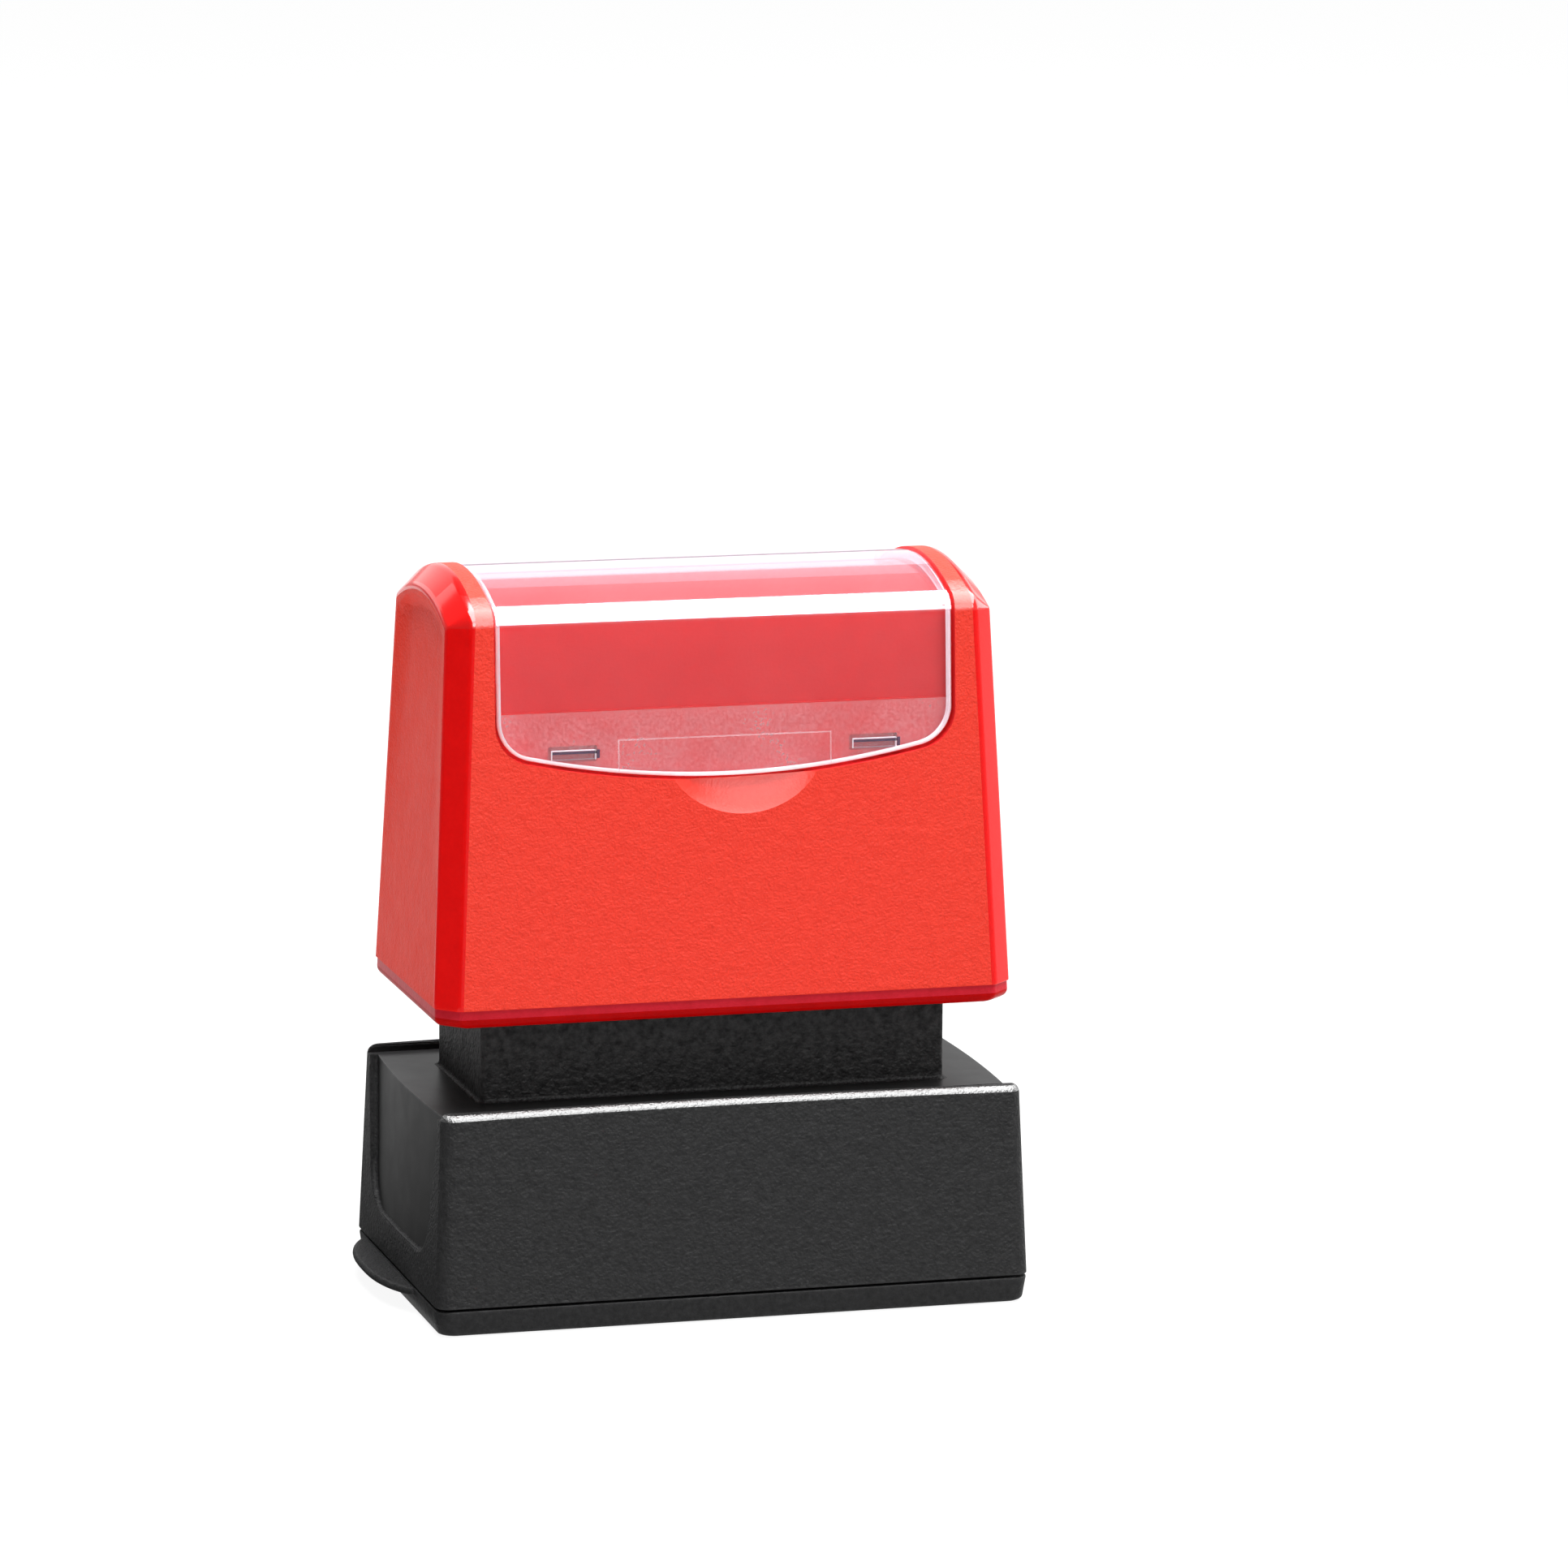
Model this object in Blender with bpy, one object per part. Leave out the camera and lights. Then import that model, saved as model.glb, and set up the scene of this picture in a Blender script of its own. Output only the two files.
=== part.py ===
"""Pre-inked hand stamp on its dust cap: red grip with a clear label cover, black skirt with a guide tower, and the spring-returned die carrier inside.

Metres, +Z up. The origin is the centre of the dust cap's flat underside. X runs along the stamp, -Y is the front, and the cap's pull tab is at -X.
"""

import math

import bmesh
import bpy
from mathutils import Matrix, Vector

MM = 0.001

# --- driving dimensions, in millimetres ---------------------------------------------------
CLEARANCE = 0.3  # kept between neighbouring pieces

# dust cap
CAP_HALF_L, CAP_HALF_D = 31.5, 19.15
CAP_HEIGHT, CAP_FLOOR = 2.65, 1.2
CAP_CORNER_R = 1.6
LIP_HALF_L, LIP_HALF_D, LIP_WALL, LIP_TOP = 28.6, 16.5, 1.2, 5.4
TAB_HALF_W, TAB_REACH, TAB_Z0, TAB_Z1, TAB_CENTRE_Y = 11.9, 3.0, 1.4, 2.5, 4.0
LINER_HALF_L, LINER_HALF_D, LINER_Z0, LINER_Z1 = 26.6, 14.4, 1.5, 1.9

# skirt and its guide tower
SKIRT_Z0, RAIL_TOP, RAIL_CROWN = 2.9, 22.85, 0.3
SKIRT_TOP_HALF_L, SKIRT_TOP_HALF_D = 30.7, 18.25
SKIRT_IN_HALF_L, SKIRT_IN_HALF_D = 28.9, 16.9
DECK_TOP, DECK_THICK = 22.1, 1.8
RAIL_WALL = 1.45
RECESS_DEPTH, RECESS_BOTTOM, RECESS_HALF_TOP, RECESS_HALF_LOW, RECESS_R = 0.85, 6.8, 15.6, 13.6, 5.5
RECESS_BULGE = 0.6
TOWER_HALF_L, TOWER_HALF_D, TOWER_WALL, TOWER_TOP = 24.7, 9.85, 1.5, 44.0
TOWER_FOOT = 0.6

# grip
GRIP_Z0, RIM_STEP_Z, SHOULDER_Z = 31.2, 33.1, 71.75
GRIP_HALF_L0, GRIP_HALF_D0 = 30.66, 16.07  # at GRIP_Z0
GRIP_HALF_L1, GRIP_HALF_D1 = 28.77, 13.6  # at SHOULDER_Z
RIM_INSET, RIM_CHAMFER = 0.17, 0.6
ARCH_R, ARCH_PEAK = 30.5, 76.4
SHOULDER_R = 2.1
END_CHAMFER = 2.15
CAVITY_L0, CAVITY_D0, CAVITY_L1, CAVITY_D1, CAVITY_TOP = 28.6, 13.6, 26.0, 10.6, 72.6
END_RECESS_DEPTH, END_RECESS_HALF, END_RECESS_TOP, END_RECESS_BOTTOM = 0.8, 8.4, 72.6, 40.0

# label cover and its pocket
COVER_HALF_L, COVER_WALL, COVER_SINK = 24.0, 0.95, 0.25
COVER_BOTTOM, COVER_BOTTOM_RISE, COVER_CORNER_R = 56.0, 2.2, 4.2
LABEL_STEP_Z, LABEL_STEP = 63.0, 0.3
LUG_X, LUG_Z, LUG_W, LUG_H, LUG_DEEP = 15.9, 58.6, 4.6, 1.0, 0.22
DISH_X, DISH_Z, DISH_W, DISH_H, DISH_DEEP = 1.8, 55.9, 7.3, 3.6, 1.5

# press mechanism
STROKE = 6.2
POST_X, POST_R, POST_BORE_R, POST_NECK_R, POST_TOP = 8.0, 4.2, 2.9, 1.7, 49.9
PIN_X, PIN_R, PIN_HEAD_R, PIN_TOP = 17.0, 1.5, 2.8, 58.0
PIN_HEAD_Z0 = 18.8
SPRING_R, SPRING_WIRE_R, SPRING_TURNS, SPRING_Z0, SPRING_Z1 = 2.7, 0.36, 10, 22.4, 50.9
SOCKET_R, SOCKET_BORE_R, SOCKET_Z0 = 3.8, 1.9, 52.0
SCREW_R, SCREW_HEAD_R, SCREW_TOP = 1.25, 2.4, 57.5
DIE_HALF_L, DIE_HALF_D, DIE_FACE_Z = 24.3, 11.9, 8.8
BED_HALF_L, BED_HALF_D = 25.1, 12.7
FRAME_HALF_L, FRAME_HALF_D, FRAME_WALL, FRAME_Z0, FRAME_Z1 = 27.0, 14.6, 1.6, 9.6, 17.3
CARRIER_Z0, CARRIER_Z1, CARRIER_FLANGE_Z1 = 16.0, 17.6, 18.4


# --- scene and materials -------------------------------------------------------------------
def clear_scene():
    for obj in list(bpy.data.objects):
        bpy.data.objects.remove(obj, do_unlink=True)
    for block in list(bpy.data.meshes):
        bpy.data.meshes.remove(block)


def new_collection(name):
    made = bpy.data.collections.new(name)
    bpy.context.scene.collection.children.link(made)
    return made


clear_scene()
PARTS = new_collection("pre_inked_stamp")
CUTTERS = new_collection("cutters")


def material(name, colour, roughness, metallic=0.0, alpha=1.0):
    mat = bpy.data.materials.new(name)
    mat.use_nodes = True
    shader = mat.node_tree.nodes["Principled BSDF"]
    shader.inputs["Base Color"].default_value = (*colour, 1.0)
    shader.inputs["Roughness"].default_value = roughness
    shader.inputs["Metallic"].default_value = metallic
    shader.inputs["Alpha"].default_value = alpha
    mat.diffuse_color = (*colour, alpha)
    return mat


RED = (0.80, 0.035, 0.015)
BLACK = (0.018, 0.018, 0.019)


# --- mesh helpers ----------------------------------------------------------------------------
def mesh_object(name, bm, mat=None, cutter=False, smooth_angle=None):
    bmesh.ops.recalc_face_normals(bm, faces=bm.faces)
    mesh = bpy.data.meshes.new(name)
    bm.to_mesh(mesh)
    bm.free()
    obj = bpy.data.objects.new(name, mesh)
    if mat is not None:
        mesh.materials.append(mat)
    if smooth_angle is not None:
        mesh.shade_smooth()
        mesh.set_sharp_from_angle(angle=math.radians(smooth_angle))
    if cutter:
        obj.hide_render = True
        obj.display_type = "WIRE"
        CUTTERS.objects.link(obj)
    else:
        PARTS.objects.link(obj)
    return obj


def block(half_l, half_d, z0, z1, top_l=None, top_d=None, x=0.0, y=0.0):
    """A box, or a tapered one, as a bmesh: half lengths at z0 and, if given, at z1."""
    top_l = half_l if top_l is None else top_l
    top_d = half_d if top_d is None else top_d
    bm = bmesh.new()
    bmesh.ops.create_cube(bm, size=2.0)
    for v in bm.verts:
        up = v.co.z > 0
        v.co.x = (x + math.copysign(top_l if up else half_l, v.co.x)) * MM
        v.co.y = (y + math.copysign(top_d if up else half_d, v.co.y)) * MM
        v.co.z = (z1 if up else z0) * MM
    return bm


def upright_edges(bm):
    return [e for e in bm.edges if abs(e.verts[0].co.z - e.verts[1].co.z) > 1e-6]


def bevel(bm, edges, width, segments=1):
    bmesh.ops.bevel(bm, geom=edges, offset=width * MM, segments=segments, profile=0.5, affect="EDGES", clamp_overlap=True)


def rounded_block(half_l, half_d, z0, z1, radius, segments=3, **more):
    bm = block(half_l, half_d, z0, z1, **more)
    bevel(bm, upright_edges(bm), radius, segments)
    return bm


def rod(radius, z0, z1, x=0.0, y=0.0, sides=24, radius_top=None):
    bm = bmesh.new()
    bmesh.ops.create_cone(
        bm,
        cap_ends=True,
        segments=sides,
        radius1=radius * MM,
        radius2=(radius if radius_top is None else radius_top) * MM,
        depth=(z1 - z0) * MM,
    )
    bmesh.ops.translate(bm, verts=bm.verts, vec=Vector((x, y, (z0 + z1) / 2)) * MM)
    return bm


def moved_origin(obj, x, y, z):
    """Puts the object's origin at a point, in millimetres, and leaves its mesh where it is."""
    point = Vector((x, y, z)) * MM
    obj.data.transform(Matrix.Translation(-point))
    obj.location = point
    return obj


def boolean(obj, cutter, operation="DIFFERENCE"):
    mod = obj.modifiers.new(cutter.name, "BOOLEAN")
    mod.operation = operation
    mod.solver = "EXACT"
    mod.object = cutter
    return mod


def extruded_outline(name, points, half_width):
    """A closed outline in YZ, extruded along X both ways, as a bmesh. It is a flat curve that is filled and extruded."""
    curve = bpy.data.curves.new(name, "CURVE")
    curve.dimensions = "2D"
    curve.fill_mode = "BOTH"
    curve.extrude = half_width * MM
    spline = curve.splines.new("POLY")
    spline.points.add(len(points) - 1)
    for p, (y, z) in zip(spline.points, points):
        p.co = (y * MM, z * MM, 0.0, 1.0)
    spline.use_cyclic_u = True
    helper = bpy.data.objects.new(name, curve)
    bpy.context.scene.collection.objects.link(helper)
    bpy.context.view_layer.update()
    graph = bpy.context.evaluated_depsgraph_get()
    mesh = bpy.data.meshes.new_from_object(helper.evaluated_get(graph))
    bm = bmesh.new()
    bm.from_mesh(mesh)
    bpy.data.objects.remove(helper)
    bpy.data.curves.remove(curve)
    bpy.data.meshes.remove(mesh)
    bmesh.ops.remove_doubles(bm, verts=bm.verts, dist=1e-6)
    # the outline's (x, y, z) becomes the part's (y, z, x)
    bmesh.ops.transform(bm, verts=bm.verts, matrix=Matrix(((0, 0, 1, 0), (1, 0, 0, 0), (0, 1, 0, 0), (0, 0, 0, 1))))
    flat = [e for e in bm.edges if len(e.link_faces) == 2 and e.link_faces[0].normal.angle(e.link_faces[1].normal, 1.0) < 1e-4]
    bmesh.ops.dissolve_edges(bm, edges=flat, use_verts=False)
    return bm


def grip_half_depth(z):
    return GRIP_HALF_D0 + (GRIP_HALF_D1 - GRIP_HALF_D0) * (z - GRIP_Z0) / (SHOULDER_Z - GRIP_Z0)


def grip_half_length(z):
    return GRIP_HALF_L0 + (GRIP_HALF_L1 - GRIP_HALF_L0) * (z - GRIP_Z0) / (SHOULDER_Z - GRIP_Z0)


def arch_outline(inset, bottom, arc_steps=14, corner_steps=5, step_z=None, step=0.0):
    """The grip's cross-section in YZ, set in by inset: tapered sides, a rounded shoulder and a round arch.

    With step_z, the part above that height is set in by step more.
    """
    peak = ARCH_PEAK
    centre = peak - ARCH_R

    def half(extra):
        radius = ARCH_R - inset - extra
        corner = max(SHOULDER_R - inset - extra, 0.35)
        slope = (GRIP_HALF_D1 - GRIP_HALF_D0) / (SHOULDER_Z - GRIP_Z0)
        tilt = math.atan(-slope)  # the side leans in by this much
        # the side is the line y = side0 + slope * z; the corner circle touches it and the arch from inside
        side0 = GRIP_HALF_D0 - slope * GRIP_Z0 - (inset + extra) / math.cos(tilt)
        lo, hi = 0.0, math.pi / 2
        for _ in range(60):
            a = (lo + hi) / 2
            cy, cz = (radius - corner) * math.sin(a), centre + (radius - corner) * math.cos(a)
            reach = (side0 + slope * cz - cy) * math.cos(tilt)
            if reach > corner:
                lo = a
            else:
                hi = a
        a = (lo + hi) / 2
        cy, cz = (radius - corner) * math.sin(a), centre + (radius - corner) * math.cos(a)
        end = math.pi / 2 - tilt
        arc = [(radius * math.sin(a * i / arc_steps), centre + radius * math.cos(a * i / arc_steps)) for i in range(arc_steps + 1)]
        turn = [
            (cy + corner * math.sin(a + (end - a) * i / corner_steps), cz + corner * math.cos(a + (end - a) * i / corner_steps))
            for i in range(1, corner_steps + 1)
        ]
        return arc + turn, side0, slope

    points, side0, slope = half(step if step_z is not None else 0.0)
    if step_z is not None:
        points.append((side0 + slope * step_z, step_z))
        _, side0, slope = half(0.0)
        points.append((side0 + slope * step_z, step_z))
    points.append((side0 + slope * bottom, bottom))
    return points + [(-y, z) for y, z in reversed(points[1:])]


# --- dust cap ----------------------------------------------------------------------------------
def build_cap():
    mat = material("cap_plastic", BLACK, 0.42)
    bm = rounded_block(CAP_HALF_L - 0.35, CAP_HALF_D - 0.35, 0.0, CAP_HEIGHT, CAP_CORNER_R, top_l=CAP_HALF_L, top_d=CAP_HALF_D)
    under = [e for e in bm.edges if all(v.co.z < 1e-6 for v in e.verts)]
    bevel(bm, under, 0.45, 2)
    cap = mesh_object("base_cap", bm, mat, smooth_angle=35)

    lip = mesh_object("cap_lip", rounded_block(LIP_HALF_L, LIP_HALF_D, CAP_FLOOR - 0.5, LIP_TOP, 2.0), cutter=True)
    boolean(cap, lip, "UNION")
    well = mesh_object(
        "cap_well", rounded_block(LIP_HALF_L - LIP_WALL, LIP_HALF_D - LIP_WALL, CAP_FLOOR, LIP_TOP + 2, 1.2), cutter=True
    )
    boolean(cap, well)

    # pull tab: a flat tongue with a bowed edge
    steps = 14
    outline = []
    for i in range(steps + 1):
        t = -1 + 2 * i / steps
        outline.append((-(CAP_HALF_L - 0.2) - TAB_REACH * (1 - abs(t) ** 2.6) ** 0.8 - 0.02, TAB_CENTRE_Y + TAB_HALF_W * t))
    outline += [(-(CAP_HALF_L - 2.0), TAB_CENTRE_Y + TAB_HALF_W), (-(CAP_HALF_L - 2.0), TAB_CENTRE_Y - TAB_HALF_W)]
    bm = bmesh.new()
    low = [bm.verts.new((x * MM, y * MM, TAB_Z0 * MM)) for x, y in outline]
    face = bm.faces.new(low)
    grown = bmesh.ops.extrude_face_region(bm, geom=[face])
    bmesh.ops.translate(
        bm, verts=[g for g in grown["geom"] if isinstance(g, bmesh.types.BMVert)], vec=(0, 0, (TAB_Z1 - TAB_Z0) * MM)
    )
    bmesh.ops.recalc_face_normals(bm, faces=bm.faces)
    rim = [
        e
        for e in bm.edges
        if abs(e.verts[0].co.z - e.verts[1].co.z) < 1e-7 and all(v.co.x < -(CAP_HALF_L - 0.25) * MM for v in e.verts)
    ]
    bevel(bm, rim, 0.45, 2)
    boolean(cap, mesh_object("cap_tab", bm, cutter=True), "UNION")

    mesh_object(
        "cap_liner",
        rounded_block(LINER_HALF_L, LINER_HALF_D, LINER_Z0, LINER_Z1, 1.0),
        material("liner_foam", (0.55, 0.56, 0.55), 0.9),
        smooth_angle=35,
    )


# --- skirt ---------------------------------------------------------------------------------------
def build_skirt():
    mat = material("skirt_plastic", BLACK, 0.5)
    bm = block(CAP_HALF_L, CAP_HALF_D, SKIRT_Z0, RAIL_TOP, SKIRT_TOP_HALF_L, SKIRT_TOP_HALF_D)
    bevel(bm, upright_edges(bm), 1.3, 3)
    # the front and back walls' top edges rise a little towards the middle
    long_top = [e for e in bm.edges if all(v.co.z > (RAIL_TOP - 0.1) * MM for v in e.verts) and e.calc_length() > 0.04]
    cuts = bmesh.ops.subdivide_edges(bm, edges=long_top, cuts=7)
    for v in bm.verts:
        if v.co.z > (RAIL_TOP - 0.1) * MM:
            v.co.z += RAIL_CROWN * MM * max(0.0, 1 - (v.co.x / (SKIRT_TOP_HALF_L * MM)) ** 2)
    rail_edges = [
        e
        for e in bm.edges
        if all(v.co.z > (RAIL_TOP - 0.1) * MM for v in e.verts)
        and any(abs(f.normal.z) < 0.5 for f in e.link_faces)
        and any(abs(f.normal.z) > 0.5 for f in e.link_faces)
    ]
    bevel(bm, rail_edges, 0.55, 3)
    skirt = mesh_object("skirt_body", bm, mat, smooth_angle=35)

    # deck: a pocket between the two rails, open at both ends
    boolean(
        skirt,
        mesh_object(
            "deck_cut", block(CAP_HALF_L + 3, SKIRT_TOP_HALF_D - RAIL_WALL, DECK_TOP, RAIL_TOP + 3), cutter=True
        ),
    )

    # guide tower with a small foot where it meets the deck
    tower = block(TOWER_HALF_L, TOWER_HALF_D, DECK_TOP - 0.8, TOWER_TOP)
    bevel(tower, upright_edges(tower), 0.5, 2)
    boolean(skirt, mesh_object("tower_add", tower, cutter=True), "UNION")
    foot = block(
        TOWER_HALF_L + TOWER_FOOT, TOWER_HALF_D + TOWER_FOOT, DECK_TOP - 0.7, DECK_TOP + TOWER_FOOT, TOWER_HALF_L + 0.02, TOWER_HALF_D + 0.02
    )
    bevel(foot, upright_edges(foot), 0.5, 2)
    boolean(skirt, mesh_object("foot_add", foot, cutter=True), "UNION")

    # the inside of the skirt, below the deck, and the inside of the tower, above it
    inner = rounded_block(SKIRT_IN_HALF_L, SKIRT_IN_HALF_D, SKIRT_Z0 - 3, DECK_TOP - DECK_THICK, 1.6)
    boolean(skirt, mesh_object("skirt_inside", inner, cutter=True))
    well = block(TOWER_HALF_L - TOWER_WALL, TOWER_HALF_D - TOWER_WALL, DECK_TOP, TOWER_TOP + 3)
    boolean(skirt, mesh_object("tower_inside", well, cutter=True))
    for side, sign in (("left", -1), ("right", 1)):
        boolean(skirt, mesh_object(f"post_hole_{side}", rod(POST_R + 0.4, 18, 25, x=sign * POST_X), cutter=True))
        boolean(skirt, mesh_object(f"pin_hole_{side}", rod(PIN_R + CLEARANCE, 18, 25, x=sign * PIN_X, sides=16), cutter=True))

    # end recesses: a shield outline, open at the top, whose floor is part of an upright barrel
    for side, sign in (("left", -1), ("right", 1)):
        outline = [(RECESS_HALF_TOP + 0.6, RAIL_TOP + 2), (RECESS_HALF_TOP, DECK_TOP - 1)]
        cy, cz = RECESS_HALF_LOW - RECESS_R, RECESS_BOTTOM + RECESS_R
        for i in range(7):
            a = math.radians(90 * i / 6)
            outline.append((cy + RECESS_R * math.cos(a), cz - RECESS_R * math.sin(a)))
        outline += [(-y, z) for y, z in reversed(outline)]
        bm = extruded_outline(f"end_recess_{side}", outline, 3.0)
        bmesh.ops.translate(bm, verts=bm.verts, vec=(sign * (CAP_HALF_L + 2.0) * MM, 0, 0))
        cutter = mesh_object(f"end_recess_{side}", bm, cutter=True)
        # what stays of the end inside the recess: a shallow barrel that follows the wall's lean
        keep_l0 = CAP_HALF_L - RECESS_DEPTH
        keep_l1 = SKIRT_TOP_HALF_L - RECESS_DEPTH
        keep = bmesh.new()
        rows = 10
        half = SKIRT_TOP_HALF_D - 0.3
        verts = []
        for z, length in ((SKIRT_Z0 - 1, keep_l0), (RAIL_TOP + 3, keep_l1)):
            row = []
            for i in range(rows + 1):
                y = -half + 2 * half * i / rows
                row.append(keep.verts.new((sign * (length + RECESS_BULGE * (1 - (y / RECESS_HALF_TOP) ** 2)) * MM, y * MM, z * MM)))
            row += [keep.verts.new((sign * 20 * MM, half * MM, z * MM)), keep.verts.new((sign * 20 * MM, -half * MM, z * MM))]
            verts.append(row)
        count = len(verts[0])
        keep.faces.new(verts[0])
        keep.faces.new(list(reversed(verts[1])))
        for i in range(count):
            j = (i + 1) % count
            keep.faces.new((verts[0][i], verts[1][i], verts[1][j], verts[0][j]))
        barrel = mesh_object(f"end_barrel_{side}", keep, cutter=True)
        boolean(cutter, barrel)
        boolean(skirt, cutter)


# --- grip ------------------------------------------------------------------------------------------
def build_grip():
    mat = material("grip_plastic", RED, 0.32)
    bm = extruded_outline("grip_outline", arch_outline(0.0, RIM_STEP_Z), 1.0)
    for v in bm.verts:
        v.co.x = math.copysign(grip_half_length(v.co.z / MM) * MM, v.co.x)
    bmesh.ops.recalc_face_normals(bm, faces=bm.faces)
    ends = [f for f in bm.faces if abs(f.normal.x) > 0.9]
    edges = {e for f in ends for e in f.edges if not all(v.co.z < (RIM_STEP_Z + 0.01) * MM for v in e.verts)}
    bevel(bm, list(edges), END_CHAMFER, 1)
    grip = mesh_object("grip_housing", bm, mat, smooth_angle=25)

    # the rim under the step is set in a little, and its lower edge is chamfered
    rim = block(
        grip_half_length(GRIP_Z0) - RIM_INSET,
        grip_half_depth(GRIP_Z0) - RIM_INSET,
        GRIP_Z0,
        RIM_STEP_Z + 0.5,
        grip_half_length(RIM_STEP_Z) - RIM_INSET,
        grip_half_depth(RIM_STEP_Z) - RIM_INSET,
    )
    bevel(rim, upright_edges(rim), END_CHAMFER + 0.55, 1)
    under = [e for e in rim.edges if all(v.co.z < (GRIP_Z0 + 0.01) * MM for v in e.verts)]
    bevel(rim, under, RIM_CHAMFER, 2)
    boolean(grip, mesh_object("grip_rim", rim, cutter=True), "UNION")

    # hollow inside, open below
    hollow = block(CAVITY_L0, CAVITY_D0, GRIP_Z0 - 2, CAVITY_TOP, CAVITY_L1, CAVITY_D1)
    bevel(hollow, [e for e in hollow.edges if all(v.co.z > (CAVITY_TOP - 0.1) * MM for v in e.verts)], 2.4, 1)
    boolean(grip, mesh_object("grip_hollow", hollow, cutter=True))

    # pocket for the cover: over front, top and back, with a deeper step for a label card
    pocket = extruded_outline(
        "cover_pocket",
        [(y, z) for y, z in arch_outline(-3.0, 40.0, arc_steps=8)],
        COVER_HALF_L + CLEARANCE,
    )
    pocket_cut = mesh_object("cover_pocket", pocket, cutter=True)
    boolean(pocket_cut, window_outline("pocket_outline", CLEARANCE), "INTERSECT")
    floor = extruded_outline(
        "pocket_floor",
        arch_outline(COVER_SINK + COVER_WALL + CLEARANCE, 35.0, step_z=LABEL_STEP_Z, step=LABEL_STEP),
        COVER_HALF_L + 4,
    )
    boolean(pocket_cut, mesh_object("pocket_floor", floor, cutter=True))
    boolean(grip, pocket_cut)

    # slots behind the cover's lugs, and the thumb dish
    for y_sign, face in ((-1, "front"), (1, "back")):
        for x_sign, side in ((-1, "left"), (1, "right")):
            y = y_sign * (grip_half_depth(LUG_Z) - COVER_SINK - COVER_WALL - CLEARANCE)
            cut = block(LUG_W / 2 + 0.2, 0.7, LUG_Z - LUG_H / 2 - 0.2, LUG_Z + LUG_H / 2 + 0.2, x=x_sign * LUG_X, y=y)
            boolean(grip, mesh_object(f"lug_slot_{face}_{side}", cut, cutter=True))
    for y_sign, face, x_sign in ((-1, "front", 1), (1, "back", -1)):
        dish = bmesh.new()
        bmesh.ops.create_uvsphere(dish, u_segments=28, v_segments=14, radius=1.0)
        lean = math.atan((GRIP_HALF_D0 - GRIP_HALF_D1) / (SHOULDER_Z - GRIP_Z0))
        shape = (
            Matrix.Translation(Vector((x_sign * DISH_X, y_sign * (grip_half_depth(DISH_Z) + 0.05), DISH_Z)) * MM)
            @ Matrix.Rotation(y_sign * lean, 4, "X")
            @ Matrix.Diagonal((DISH_W * MM, DISH_DEEP * MM, DISH_H * MM, 1))
        )
        bmesh.ops.transform(dish, verts=dish.verts, matrix=shape)
        boolean(grip, mesh_object(f"thumb_dish_{face}", dish, cutter=True))

    # finger recess in each end: a plane that leans less than the wall, so it fades out below
    for sign, side in ((-1, "left"), (1, "right")):
        outline = []
        radius = 6.0
        for i in range(9):
            a = math.radians(90 * i / 8)
            outline.append(
                (END_RECESS_HALF - radius + radius * math.cos(a), END_RECESS_TOP - radius + radius * math.sin(a))
            )
        outline = [(END_RECESS_HALF + 1.0, END_RECESS_BOTTOM - 4)] + outline
        outline += [(-y, z) for y, z in reversed(outline)]
        bm = extruded_outline(f"finger_recess_{side}", outline, 3.0)
        inner = grip_half_length(END_RECESS_BOTTOM), grip_half_length(END_RECESS_TOP) - END_RECESS_DEPTH
        for v in bm.verts:
            z = v.co.z / MM
            t = (z - END_RECESS_BOTTOM) / (END_RECESS_TOP - END_RECESS_BOTTOM)
            floor_x = inner[0] + (inner[1] - inner[0]) * t
            v.co.x = sign * (floor_x if v.co.x * sign < 0 else 34.0) * MM
        boolean(grip, mesh_object(f"finger_recess_{side}", bm, cutter=True))

    # bosses that hang from the roof: two take the carrier's screws, two seat the springs
    for sign, side in ((-1, "left"), (1, "right")):
        boolean(grip, mesh_object(f"screw_boss_{side}", rod(3.5, POST_TOP + CLEARANCE, CAVITY_TOP + 0.4, x=sign * POST_X), cutter=True), "UNION")
        boolean(grip, mesh_object(f"spring_boss_{side}", rod(SOCKET_R, SOCKET_Z0, CAVITY_TOP + 0.4, x=sign * PIN_X), cutter=True), "UNION")
        boolean(grip, mesh_object(f"pilot_{side}", rod(SCREW_R + CLEARANCE, POST_TOP - 1, SCREW_TOP + 2, x=sign * POST_X, sides=16), cutter=True))
        boolean(grip, mesh_object(f"pin_bore_{side}", rod(SOCKET_BORE_R, SOCKET_Z0 - 1, PIN_TOP + 8, x=sign * PIN_X, sides=16), cutter=True))


def window_outline(name, grow):
    """The cover's front outline as an upright prism along Y: straight sides, round lower corners and a bowed lower edge."""
    half = COVER_HALF_L + grow
    corner = COVER_CORNER_R
    points = [(half, 80.0)]
    low = COVER_BOTTOM - grow
    corner_z = low + COVER_BOTTOM_RISE
    for i in range(8):
        a = math.radians(80 * i / 7)
        points.append((half - corner + corner * math.cos(a), corner_z + corner - corner * math.sin(a)))
    edge_x, edge_z = points[-1]
    steps = 8
    for i in range(1, steps + 1):
        x = edge_x * (1 - i / steps)
        points.append((x, low + (edge_z - low) * (x / edge_x) ** 2))
    outline = points + [(-x, z) for x, z in reversed(points[:-1])]
    bm = extruded_outline(name, outline, 22.0)
    bmesh.ops.transform(bm, verts=bm.verts, matrix=Matrix(((0, 1, 0, 0), (-1, 0, 0, 0), (0, 0, 1, 0), (0, 0, 0, 1))))
    return mesh_object(name, bm, cutter=True)


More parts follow.
